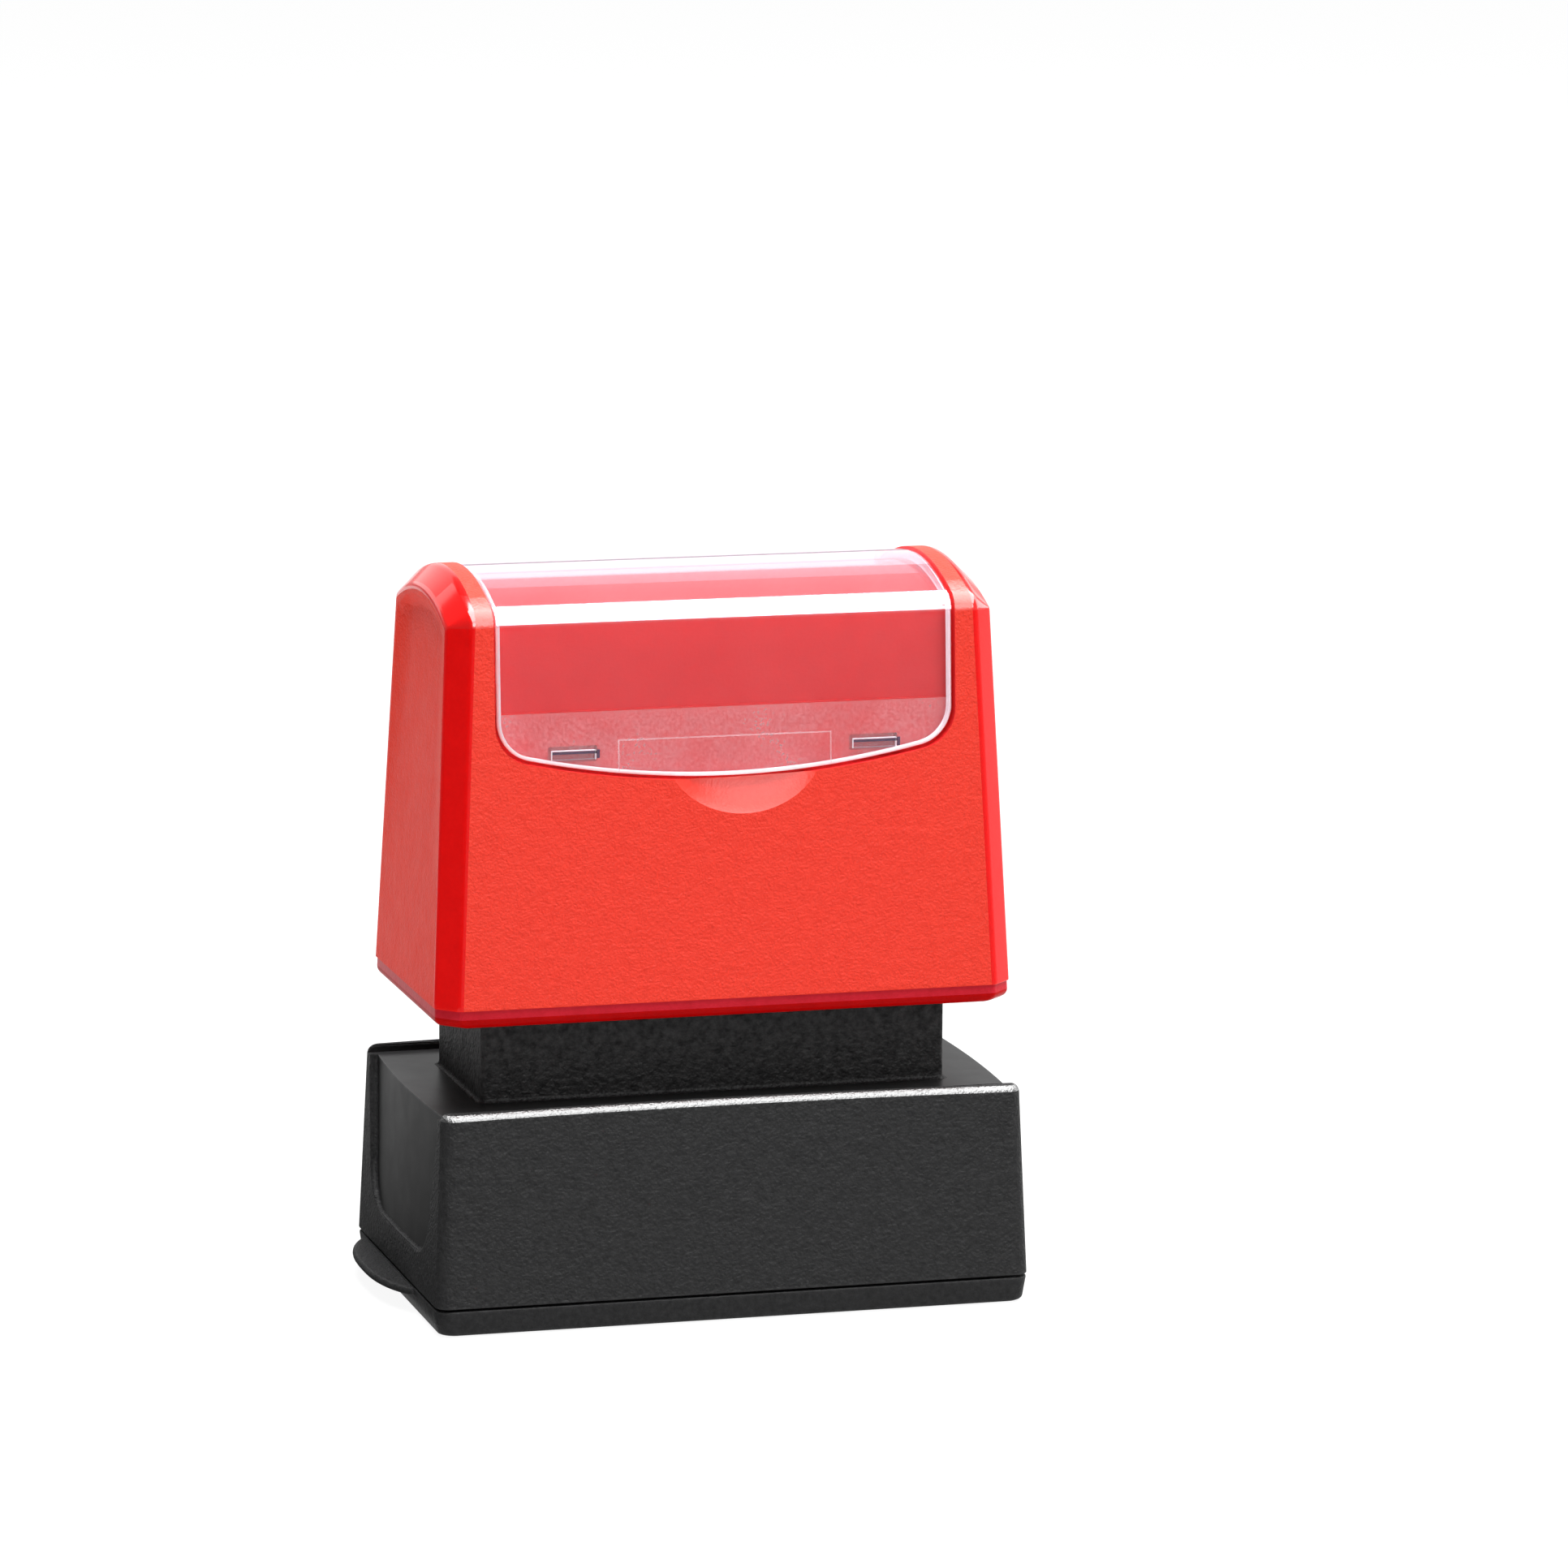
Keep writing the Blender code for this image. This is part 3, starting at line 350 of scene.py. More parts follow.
def box_bm(hl, hd, z0, z1, tl=None, td=None, x=0.0, y=0.0):
    tl, td = hl if tl is None else tl, hd if td is None else td
    bm = bmesh.new()
    bmesh.ops.create_cube(bm, size=2.0)
    for v in bm.verts:
        top = v.co.z > 0
        v.co = (x + math.copysign(tl if top else hl, v.co.x), y + math.copysign(td if top else hd, v.co.y), z1 if top else z0)
    return bm


def upright(bm):
    return [e for e in bm.edges if abs(e.verts[0].co.z - e.verts[1].co.z) > 1e-3]


def bevel(bm, edges, width, segments=3):
    if edges:
        bmesh.ops.bevel(bm, geom=list(edges), offset=width, segments=segments, profile=0.5, affect="EDGES", clamp_overlap=False)


def rod_bm(radius, z0, z1, x=0.0, y=0.0, sides=48):
    bm = bmesh.new()
    bmesh.ops.create_cone(bm, cap_ends=True, segments=sides, radius1=radius, radius2=radius, depth=z1 - z0)
    bmesh.ops.translate(bm, verts=bm.verts, vec=(x, y, (z0 + z1) / 2))
    return bm


def cutter(bm, mats=()):
    bmesh.ops.recalc_face_normals(bm, faces=bm.faces)
    return from_bmesh("cutter", scaled(bm), mats)


def rounded_rect(hl, hd, r, corner=8, long=1, short=1):
    """Points of a rounded rectangle, anticlockwise from the right side's lower end."""
    points = []
    for cx, cy, start in ((hl - r, hd - r, 0), (-(hl - r), hd - r, 90), (-(hl - r), -(hd - r), 180), (hl - r, -(hd - r), 270)):
        arc = []
        for i in range(corner + 1):
            a = math.radians(start + 90 * i / corner)
            arc.append((cx + r * math.cos(a), cy + r * math.sin(a)))
        if points:
            last = points[-1]
            n = long if start in (90, 270) else short
            for i in range(1, n):
                t = i / n
                points.append((last[0] + (arc[0][0] - last[0]) * t, last[1] + (arc[0][1] - last[1]) * t))
        points += arc
    last, first = points[-1], points[0]
    for i in range(1, short):
        t = i / short
        points.append((last[0] + (first[0] - last[0]) * t, last[1] + (first[1] - last[1]) * t))
    return points


def stacked(rings, cap_low=True, cap_high=True):
    """A solid from horizontal rings of (x, y, z), lowest first."""
    bm = bmesh.new()
    rows = [[bm.verts.new(p) for p in ring] for ring in rings]
    skin(bm, rows, True)
    if cap_low:
        bm.faces.new(list(reversed(rows[0])))
    if cap_high:
        bm.faces.new(rows[-1])
    return bm


def finish_mesh(obj, sharp=32, weighted=True, split=()):
    """Smooth shading with sharp edges over an angle, and between the split materials and the rest where they meet at over 5 degrees."""
    obj.data.shade_smooth()
    obj.data.set_sharp_from_angle(angle=math.radians(sharp))
    if split:
        bm = bmesh.new()
        bm.from_mesh(obj.data)
        for e in bm.edges:
            kinds = {f.material_index for f in e.link_faces}
            if len(kinds) > 1 and kinds & set(split) and e.calc_face_angle(0) > math.radians(5):
                e.smooth = False
        # a large flat face with many corners keeps its own plane's normal
        for f in bm.faces:
            if len(f.verts) > 12:
                f.smooth = False
                for e in f.edges:
                    if e.calc_face_angle(0) > math.radians(0.5):
                        e.smooth = False
        bm.to_mesh(obj.data)
        bm.free()
    if weighted:
        mod = obj.modifiers.new("normals", "WEIGHTED_NORMAL")
        mod.keep_sharp = True
        mod.weight = 50
    return obj


# --- grip profile ------------------------------------------------------------------------------------
SLOPE = (D1 - D0) / (SHOULDER_Z - GRIP_Z0)
TILT = math.atan(-SLOPE)


def half_depth(z):
    return D0 + SLOPE * (z - GRIP_Z0)


def half_length(z):
    return L0 + (L1 - L0) * (z - GRIP_Z0) / (SHOULDER_Z - GRIP_Z0)


def arch_half(inset, arc_steps=44, corner_steps=12):
    """The right half of the grip's cross-section from its peak to where the side begins, set in by inset: (points, side at z 0)."""
    centre = ARCH_PEAK - ARCH_R
    radius = ARCH_R - inset
    corner = max(SHOULDER_R - inset, 0.35)
    side0 = D0 - SLOPE * GRIP_Z0 - inset / math.cos(TILT)
    lo, hi = 0.0, math.pi / 2
    for _ in range(60):
        a = (lo + hi) / 2
        cy, cz = (radius - corner) * math.sin(a), centre + (radius - corner) * math.cos(a)
        if (side0 + SLOPE * cz - cy) * math.cos(TILT) > corner:
            lo = a
        else:
            hi = a
    cy, cz = (radius - corner) * math.sin(a), centre + (radius - corner) * math.cos(a)
    end = math.pi / 2 - TILT
    points = [(radius * math.sin(a * i / arc_steps), centre + radius * math.cos(a * i / arc_steps)) for i in range(arc_steps + 1)]
    points += [
        (cy + corner * math.sin(a + (end - a) * i / corner_steps), cz + corner * math.cos(a + (end - a) * i / corner_steps))
        for i in range(1, corner_steps + 1)
    ]
    return points, side0


RIM_R = 1.0


def rim_in(z):
    """How far the rim below the step is set in at this height."""
    if z >= STEP_Z + 0.1:
        return 0.0
    if z > STEP_Z:
        t = (STEP_Z + 0.1 - z) / 0.1
        return 0.04 * t * t
    low = GRIP_Z0 + RIM_R - z
    return RIM_INSET + (RIM_R - math.sqrt(max(RIM_R * RIM_R - low * low, 0.0)) if low > 0 else 0.0)


SIDE_LEVELS = (
    [SHOULDER_Z - 1.6 - 1.15 * i for i in range(32)]
    + [STEP_Z + 0.6, STEP_Z + 0.1, STEP_Z + 0.05, STEP_Z + 0.001, STEP_Z - 0.02, STEP_Z - 0.3]
    + [GRIP_Z0 + RIM_R * (1 - math.sin(math.radians(a))) for a in range(0, 91, 15)]
)


def grip_profile(inset):
    """Right half, peak first: (y, z)."""
    points, side0 = arch_half(inset)
    top = points[-1][1]
    for z in SIDE_LEVELS:
        if z < top - 0.05:
            points.append((side0 + SLOPE * z - rim_in(z), z))
    return points


def grip_ring(inset, x_in, sign):
    """A closed ring of (x, y, z) near one end, going round from the peak."""
    right = grip_profile(inset)
    loop = right + [(-y, z) for y, z in reversed(right[1:])]
    return [(sign * (half_length(z) - x_in - rim_in(z)), y, z) for y, z in loop]


def corner_path():
    """(inset, x_in) from the end face round the chamfer to the long side, with soft edges."""
    c, t = CHAMFER, 0.42
    q = t / math.sqrt(2)

    def curve(p0, p1, p2, n):
        return [
            (
                (1 - s) ** 2 * p0[0] + 2 * s * (1 - s) * p1[0] + s * s * p2[0],
                (1 - s) ** 2 * p0[1] + 2 * s * (1 - s) * p1[1] + s * s * p2[1],
            )
            for s in [i / n for i in range(n + 1)]
        ]

    return curve((c + t, 0), (c, 0), (c - q, q), 5) + curve((q, c - q), (0, c), (0, c + t), 5)


RECESS_E0, RECESS_D = 3.05, 0.85


def recess_depth(y, z):
    """The scoop in an end face: deepest under the arch, with long soft flanks, and gone a little above the rim."""
    e_side = half_depth(z) - abs(y)
    e_top = ARCH_R - math.hypot(y, z - (ARCH_PEAK - ARCH_R))
    a, b = (e_side - RECESS_E0) / 4.2, (e_top - RECESS_E0) / 1.5
    t = 1 - math.hypot(max(1 - a, 0.0), max(1 - b, 0.0))
    if t <= 0:
        return 0.0
    t = min(t, 1.0)
    down = max(0.0, min(1.0, (z - 39.0) / (72.5 - 39.0)))
    return RECESS_D * (down**1.15) * (1 - (1 - t) ** 1.9)


def build_grip():
    bm = bmesh.new()
    path = corner_path()
    stations = [i / 12 for i in range(1, 12)]
    rings = [grip_ring(e, f, -1) for e, f in path]
    left, right = rings[-1], grip_ring(*path[-1], 1)
    rings += [[tuple(np.array(p) * (1 - s) + np.array(q) * s) for p, q in zip(left, right)] for s in stations]
    rings += [grip_ring(e, f, 1) for e, f in reversed(path)]
    rows = [[bm.verts.new(p) for p in ring] for ring in rings]
    skin(bm, rows, True)
    n_path = len(path)
    for f in bm.faces:
        f.material_index = 0
    bm.faces.ensure_lookup_table()
    count = len(rows[0])
    for k in range(len(rows) - 1):
        corner = k < n_path - 1 or k >= len(rows) - n_path
        for i in range(count):
            face = bm.faces[k * count + i]
            mid = face.calc_center_median()
            # the rounded underside and the band below the step take the darker reds: painted shade
            if mid.z < GRIP_Z0 + RIM_R:
                face.material_index = 9
            elif mid.z < STEP_Z + 0.02:
                face.material_index = 2
            elif corner:
                face.material_index = 7 if 71.5 < mid.z < 74.8 else 1
            elif 71.5 < mid.z < 74.6:
                face.material_index = 6
    # end faces: rows at each profile point's height, with the scoop
    half_n = (count + 1) // 2
    cols = np.sin(np.linspace(-1, 1, 61) * math.pi / 2 * 0.98)
    cols = np.concatenate([[-1], cols[1:-1] / cols[-1], [1]])
    for sign, ring in ((-1, rows[0]), (1, rows[-1])):
        grid = []
        for i in range(half_n):
            right_v, left_v = ring[i], ring[-i] if i else ring[0]
            if i == 0:
                grid.append([ring[0]] * len(cols))
                continue
            row = [left_v]
            y_edge, z = right_v.co.y, right_v.co.z
            for u in cols[1:-1]:
                y = float(u) * y_edge
                row.append(bm.verts.new((sign * (half_length(z) - rim_in(z) - recess_depth(y, z)), y, z)))
            row.append(right_v)
            grid.append(row)
        before = set(bm.faces)
        skin(bm, grid, False, flip=sign > 0)
        for f in set(bm.faces) - before:
            low = f.calc_center_median().z
            # the end faces' lower rows take the same darker reds: painted shade
            f.material_index = 9 if low < GRIP_Z0 + RIM_R else 2 if low < STEP_Z + 0.02 else 0
        # the left and right columns share the ring's own verts, and the bottom row closes the underside
    bmesh.ops.recalc_face_normals(bm, faces=bm.faces)
    holes = [e for e in bm.edges if e.is_boundary]
    if holes:
        bmesh.ops.holes_fill(bm, edges=holes, sides=0)
    mats = [grip_grain, grip_gloss, grip_rim, grip_inside, grip_slot_painted_shade, grip_label, grip_soft, grip_corner, grip_dish, grip_underside_painted_shade]
    grip = from_bmesh("grip_housing_fine", scaled(bm), mats)

    # hollow, bosses and bores
    hollow = box_bm(28.6, 13.6, GRIP_Z0 - 2, 72.6, 26.0, 10.6)
    bevel(hollow, [e for e in hollow.edges if all(v.co.z > 72.5 for v in e.verts)], 2.4, 4)
    for f in hollow.faces:
        f.material_index = 3
    cut(grip, [cutter(hollow, mats)])

    # the cover's pocket
    shape = arch_slab(-3.0, 40.0, COVER_L + GAP)
    window = window_prism(GAP)
    cut(shape, [window], "INTERSECT")
    floor = stepped_slab(COVER_SINK + COVER_WALL + GAP, 35.0, LABEL_Z, 0.3, COVER_L + 4)
    cut(shape, [floor])
    shape.data.materials.clear()
    for m in mats:
        shape.data.materials.append(m)
    for p in shape.data.polygons:
        p.material_index = 5
    cut(grip, [shape])
    for ys in (-1, 1):
        for xs in (-1, 1):
            y = ys * (half_depth(LUG_Z) - COVER_SINK - COVER_WALL - GAP)
            slot = box_bm(LUG_W / 2 + 0.25, 1.1, LUG_Z - LUG_H / 2 - 0.25, LUG_Z + LUG_H / 2 + 0.35, x=xs * LUG_X, y=y)
            bevel(slot, list(slot.edges), 0.15, 2)
            for f in slot.faces:
                # the slot's top face takes the dark slot red, which is painted shade; the rest take the pocket's red
                f.material_index = 4 if f.normal.z > 0.5 else 5
            cut(grip, [cutter(slot, mats)])
    for ys, xs in ((-1, 1), (1, -1)):
        dish = bmesh.new()
        bmesh.ops.create_uvsphere(dish, u_segments=96, v_segments=64, radius=1.0)
        shape = (
            Matrix.Translation(Vector((xs * 1.8, ys * (half_depth(59.5) + 1.15), 59.5)))
            @ Matrix.Rotation(ys * TILT, 4, "X")
            @ Matrix.Diagonal((9.5, 2.6, 8.2, 1))
        )
        bmesh.ops.transform(dish, verts=dish.verts, matrix=shape)
        for f in dish.faces:
            f.material_index = 8
        cut(grip, [cutter(dish, mats)])
    for xs in (-1, 1):
        for x, r, z0, bore, b0, b1 in ((POST_X, 3.5, 50.2, 1.55, 48.9, 59.5), (PIN_X, 3.8, 52.0, 1.9, 51.0, 66.0)):
            boss = rod_bm(r, z0, 73.0, x=xs * x)
            cut(grip, [cutter(boss, mats)], "UNION")
            cut(grip, [cutter(rod_bm(bore, b0, b1, x=xs * x, sides=32))])
    finish_mesh(grip, 17, split=(4, 5, 8))
    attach(grip, "handle")
    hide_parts("grip_housing")
    return grip


def loop_of(half):
    return half + [(-y, z) for y, z in reversed(half[1:])]


def slab_from(half, half_width):
    """The profile, closed along its bottom, extruded along X."""
    bm = bmesh.new()
    loop = loop_of(half)
    a = [bm.verts.new((-half_width, y, z)) for y, z in loop]
    b = [bm.verts.new((half_width, y, z)) for y, z in loop]
    skin(bm, [a, b], True)
    bm.faces.new(a)
    bm.faces.new(list(reversed(b)))
    return cutter(bm)


def arch_slab(inset, bottom, half_width):
    points, side0 = arch_half(inset)
    return slab_from(points + [(side0 + SLOPE * bottom, bottom)], half_width)


def stepped_slab(inset, bottom, step_z, step, half_width):
    points, side1 = arch_half(inset + step)
    _, side0 = arch_half(inset)
    points = points + [(side1 + SLOPE * step_z, step_z), (side0 + SLOPE * step_z, step_z), (side0 + SLOPE * bottom, bottom)]
    return slab_from(points, half_width)


def window_half(grow, corner_steps=14, bow_steps=16):
    """The right half of the cover's front outline, from its top: (x, z)."""
    half, corner = COVER_L + grow, COVER_CORNER
    low = COVER_LOW - grow
    corner_z = low + COVER_RISE
    points = []
    for i in range(corner_steps + 1):
        a = math.radians(80 * i / corner_steps)
        points.append((half - corner + corner * math.cos(a), corner_z + corner - corner * math.sin(a)))
    edge_x, edge_z = points[-1]
    for i in range(1, bow_steps + 1):
        x = edge_x * (1 - i / bow_steps)
        points.append((x, low + (edge_z - low) * (x / edge_x) ** 2))
    return points


def window_prism(grow):
    half = [(COVER_L + grow, 80.0)] + window_half(grow)
    loop = half + [(-x, z) for x, z in reversed(half[:-1])]
    bm = bmesh.new()
    a = [bm.verts.new((x, -22.0, z)) for x, z in loop]
    b = [bm.verts.new((x, 22.0, z)) for x, z in loop]
    skin(bm, [a, b], True)
    bm.faces.new(a)
    bm.faces.new(list(reversed(b)))
    return cutter(bm)


# --- clear cover -------------------------------------------------------------------------------------
def build_cover():
    """A bent clear sheet: columns across X, each running from the front edge over the arch to the back edge."""
    half, side0 = arch_half(COVER_SINK, 40, 12)
    shoulder = half[-1][1]
    right = window_half(0.0)
    columns = [(x, z) for x, z in reversed(right)]
    columns = [(-x, z) for x, z in reversed(columns[1:])] + columns
    bm = bmesh.new()
    grid = []
    for x, low in columns:
        levels = [low + (LABEL_Z - low) * t for t in np.linspace(0, 1, 9)[:-1]]
        levels += [LABEL_Z + (shoulder - LABEL_Z) * t for t in np.linspace(0, 1, 11)[:-1]]
        front = [(-(side0 + SLOPE * z), z) for z in levels]
        over = [(-y, z) for y, z in reversed(half)] + half[1:]
        back = [(-y, z) for y, z in reversed(front)]
        grid.append([bm.verts.new((x, y, z)) for y, z in front + over + back])
    skin(bm, grid, False)
    bmesh.ops.recalc_face_normals(bm, faces=bm.faces)
    top = max(bm.faces, key=lambda f: f.calc_center_median().z)
    if top.normal.z < 0:
        bmesh.ops.reverse_faces(bm, faces=bm.faces)
    cover = from_bmesh("label_cover_fine", scaled(bm), [cover_clear, cover_edge_painted_highlight, cover_frost, cover_arch, cover_painted_shadow, cover_bend])
    solid = cover.modifiers.new("wall", "SOLIDIFY")
    solid.thickness = COVER_WALL * MM
    solid.offset = -1
    solid.use_even_offset = True
    solid.material_offset_rim = 1
    bm = evaluate(cover)
    cover.modifiers.clear()
    bmesh.ops.scale(bm, vec=(1000, 1000, 1000), verts=bm.verts)
    rim = [e for e in bm.edges if len(e.link_faces) == 2 and e.calc_face_angle(0) > math.radians(60)]
    bevel(bm, rim, 0.36, 4)
    bmesh.ops.recalc_face_normals(bm, faces=bm.faces)
    for f in bm.faces:
        mid = f.calc_center_median()
        inner = abs(mid.y) < half_depth(mid.z) - COVER_SINK - COVER_WALL * 0.7
        if mid.z > shoulder + 0.3:
            out = Vector((0.0, mid.y, mid.z - (ARCH_PEAK - ARCH_R))).normalized()
        else:
            out = Vector((0.0, math.copysign(math.cos(TILT), mid.y), math.sin(TILT)))
        across = abs(f.normal.dot(out))
        # rims and faces across the wall take the milky white edge material: painted highlight
        if (mid.z > shoulder + 1.6 or mid.z < shoulder - 0.2) and across < 0.985 or abs(f.normal.x) > 0.15:
            f.material_index = 1
        elif mid.z < LABEL_Z and across > 0.985 and inner:
            f.material_index = 2
        else:
            # the wall is at its most reflective round the shoulders' tight bend
            lean = math.degrees(math.atan2(abs(mid.y), mid.z - (ARCH_PEAK - ARCH_R)))
            f.material_index = 0 if mid.z < shoulder + 0.02 else 5 if lean > 22.3 else 3

    def add(part):
        mesh = bpy.data.meshes.new("part")
        part.to_mesh(mesh)
        part.free()
        bm.from_mesh(mesh)
        bpy.data.meshes.remove(mesh)

    # the snap lugs on the inner face. Each lug has thin white lines along its top and sides that are painted highlight,
    # and dark strips under the top line and past one end that are painted shadow, set in the wall over the lug
    for ys in (-1, 1):
        for xs in (-1, 1):
            y = ys * (half_depth(LUG_Z) - COVER_SINK - COVER_WALL - 0.06)
            lug = box_bm(LUG_W / 2, 0.26, LUG_Z - LUG_H / 2, LUG_Z + LUG_H / 2, x=xs * LUG_X, y=y)
            bevel(lug, list(lug.edges), 0.1, 2)
            for f in lug.faces:
                # the lug's sides take the milky white edge material, a painted highlight round its outline
                f.material_index = 1 if abs(f.normal.y) < 0.8 else 0
            add(lug)
            low, high = LUG_Z - LUG_H / 2, LUG_Z + LUG_H / 2
            face = half_depth(LUG_Z) - COVER_SINK - COVER_WALL + 0.1
            painted_lug_lines = (
                (0.0, LUG_W / 2, high - 0.10, high + 0.03, 1),
                (0.12, LUG_W / 2 + 0.05, high - 0.40, high - 0.13, 4),
                (-LUG_W / 2, 0.07, low, high, 1),
                (LUG_W / 2, 0.07, low, high, 1),
                (LUG_W / 2 + 0.28, 0.16, low + 0.1, high, 4),
            )
            for dx, hw, z0, z1, index in painted_lug_lines:
                painted_lug_line = box_bm(hw, 0.02, z0, z1, x=xs * LUG_X - ys * dx, y=ys * face)
                for f in painted_lug_line.faces:
                    f.material_index = index
                add(painted_lug_line)
    # a fine raised frame, open below, low in the middle of each wide side
    for ys in (-1, 1):
        for x, z0, z1, hw in ((-11.4, 56.9, 60.1, 0.08), (11.0, 56.9, 60.1, 0.08), (-0.2, 60.02, 60.16, 11.28)):
            y0 = ys * (half_depth(z0) - COVER_SINK)
            y1 = ys * (half_depth(z1) - COVER_SINK)
            bar = box_bm(hw, 0.04, z0, z1, x=ys * -x)
            for v in bar.verts:
                v.co.y += y1 if v.co.z > (z0 + z1) / 2 else y0
            for f in bar.faces:
                f.material_index = 2
            add(bar)
    scaled(bm).to_mesh(cover.data)
    bm.free()
    finish_mesh(cover, 30)
    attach(cover, "cover")
    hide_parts("label_cover")
    return cover


# --- skirt -------------------------------------------------------------------------------------------
def crown(x):
    return RAIL_CROWN * max(0.0, 1 - (x / SKIRT_TL) ** 2)


def build_skirt():
    mats = [skirt_grain, skirt_gloss, tower_grain, skirt_edge, skirt_recess]
    rings = []
    r_top = 0.85

    def ring(z, inset, lift):
        t = (z - SKIRT_Z0) / (RAIL_TOP - SKIRT_Z0)
        hl = CAP_L + (SKIRT_TL - CAP_L) * t - inset
        hd = CAP_D + (SKIRT_TD - CAP_D) * t - inset
        r = max(1.4 - inset, 0.5)
        return [(x, y, z + lift * crown(x)) for x, y in rounded_rect(hl, hd, r, 8, 36, 20)]

    rings.append(ring(SKIRT_Z0, 0.12, 0))
    rings.append(ring(SKIRT_Z0 + 0.04, 0.04, 0))
    rings.append(ring(SKIRT_Z0 + 0.12, 0.0, 0))
    for z in (6, 9, 12, 15, 18, 20.5):
        rings.append(ring(z, 0.0, max(0.0, (z - 12) / (RAIL_TOP - 12))))
    for i in range(0, 8):
        a = math.radians(90 * i / 7)
        rings.append(ring(RAIL_TOP - r_top * (1 - math.sin(a)), r_top * (1 - math.cos(a)), 1.0))
    bm = stacked(rings)
    bmesh.ops.recalc_face_normals(bm, faces=bm.faces)
    for f in bm.faces:
        mid = f.calc_center_median()
        if mid.z > RAIL_TOP - r_top + 0.02 and 0.22 < f.normal.z < 0.86:
            f.material_index = 3
    skirt = from_bmesh("skirt_body_fine", scaled(bm), mats)

    def glossy(bm, index=1):
        for f in bm.faces:
            f.material_index = index
        return bm

    cut(skirt, [cutter(glossy(box_bm(40, SKIRT_TD - RAIL_WALL, DECK_TOP, 30)), mats)])
    # end scoops
    for sign in (-1, 1):
        outline = [(16.2, RAIL_TOP + 2), (15.6, DECK_TOP - 1)]
        cy, cz, r = 13.6 - 5.5, 6.8 + 5.5, 5.5
        for i in range(15):
            a = math.radians(90 * i / 14)
            outline.append((cy + r * math.cos(a), cz - r * math.sin(a)))
        loop = outline + [(-y, z) for y, z in reversed(outline)]
        bm = bmesh.new()
        a_row = [bm.verts.new((sign * (CAP_L - 2), y, z)) for y, z in loop]
        b_row = [bm.verts.new((sign * (CAP_L + 4), y, z)) for y, z in loop]
        skin(bm, [a_row, b_row], True)
        bm.faces.new(a_row)
        bm.faces.new(list(reversed(b_row)))
        scoop = cutter(glossy(bm, 4), mats)
        keep = bmesh.new()
        rows = []
        half = SKIRT_TD - 0.3
        for z, length in ((SKIRT_Z0 - 1, CAP_L - 0.85), (RAIL_TOP + 3, SKIRT_TL - 0.95)):
            row = []
            for i in range(41):
                y = -half + 2 * half * i / 40
                row.append(keep.verts.new((sign * (length + 0.6 * (1 - (y / 15.6) ** 2)), y, z)))
            row += [keep.verts.new((sign * 20, half, z)), keep.verts.new((sign * 20, -half, z))]
            rows.append(row)
        skin(keep, rows, True)
        keep.faces.new(rows[0])
        keep.faces.new(list(reversed(rows[1])))
        barrel = cutter(glossy(keep, 4), mats)
        cut(scoop, [barrel])
        cut(skirt, [scoop])
    # hollow below, then the tower
    inner = box_bm(28.9, 16.9, SKIRT_Z0 - 3, DECK_UNDER)
    bevel(inner, upright(inner), 1.6, 6)
    cut(skirt, [cutter(inner)])
    tower = box_bm(TOWER_L, TOWER_D, DECK_TOP - 0.8, TOWER_TOP)
    bevel(tower, upright(tower), 0.5, 4)
    cut(skirt, [cutter(glossy(tower, 2), mats)], "UNION")
    well = box_bm(TOWER_L - TOWER_WALL, TOWER_D - TOWER_WALL, DECK_TOP, TOWER_TOP + 3)
    cut(skirt, [cutter(glossy(well, 2), mats)])
    holes = []
    for xs in (-1, 1):
        holes.append(cutter(rod_bm(4.6, 18, 25, x=xs * POST_X)))
        holes.append(cutter(rod_bm(1.8, 18, 25, x=xs * PIN_X, sides=32)))
    cut(skirt, holes)
    bm = bmesh.new()
    bm.from_mesh(skirt.data)
    bmesh.ops.scale(bm, vec=(1000, 1000, 1000), verts=bm.verts)
    bmesh.ops.remove_doubles(bm, verts=bm.verts, dist=0.012)
    bmesh.ops.dissolve_degenerate(bm, edges=bm.edges, dist=0.012)

    def sharp(e, degrees=40):
        return len(e.link_faces) == 2 and e.calc_face_angle(0) > math.radians(degrees)

    foot = [
        e
        for e in bm.edges
        if sharp(e, 60)
        and all(abs(v.co.z - DECK_TOP) < 0.02 and abs(v.co.x) > TOWER_L - 0.8 or abs(v.co.z - DECK_TOP) < 0.02 and abs(v.co.y) > TOWER_D - 0.6 for v in e.verts)
        and all(abs(v.co.x) < TOWER_L + 0.05 and abs(v.co.y) < TOWER_D + 0.05 for v in e.verts)
    ]
    bevel(bm, foot, 0.5, 4)
    rail = [
        e
        for e in bm.edges
        if sharp(e, 40) and all(abs(abs(v.co.y) - (SKIRT_TD - RAIL_WALL)) < 0.03 and v.co.z > DECK_TOP + 0.1 for v in e.verts) and e.calc_length() > 0.05
    ]
    bevel(bm, rail, 0.22, 3)
    lip = [
        e
        for e in bm.edges
        if sharp(e, 30) and all(abs(v.co.x) > 29.6 and v.co.z < DECK_TOP - 0.3 and v.co.z > 5 and abs(v.co.y) < 16.5 for v in e.verts)
    ]
    bevel(bm, lip, 0.3, 3)
    scaled(bm).to_mesh(skirt.data)
    bm.free()
    finish_mesh(skirt, 32)
    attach(skirt, "skirt")
    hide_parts("skirt_body")
    return skirt


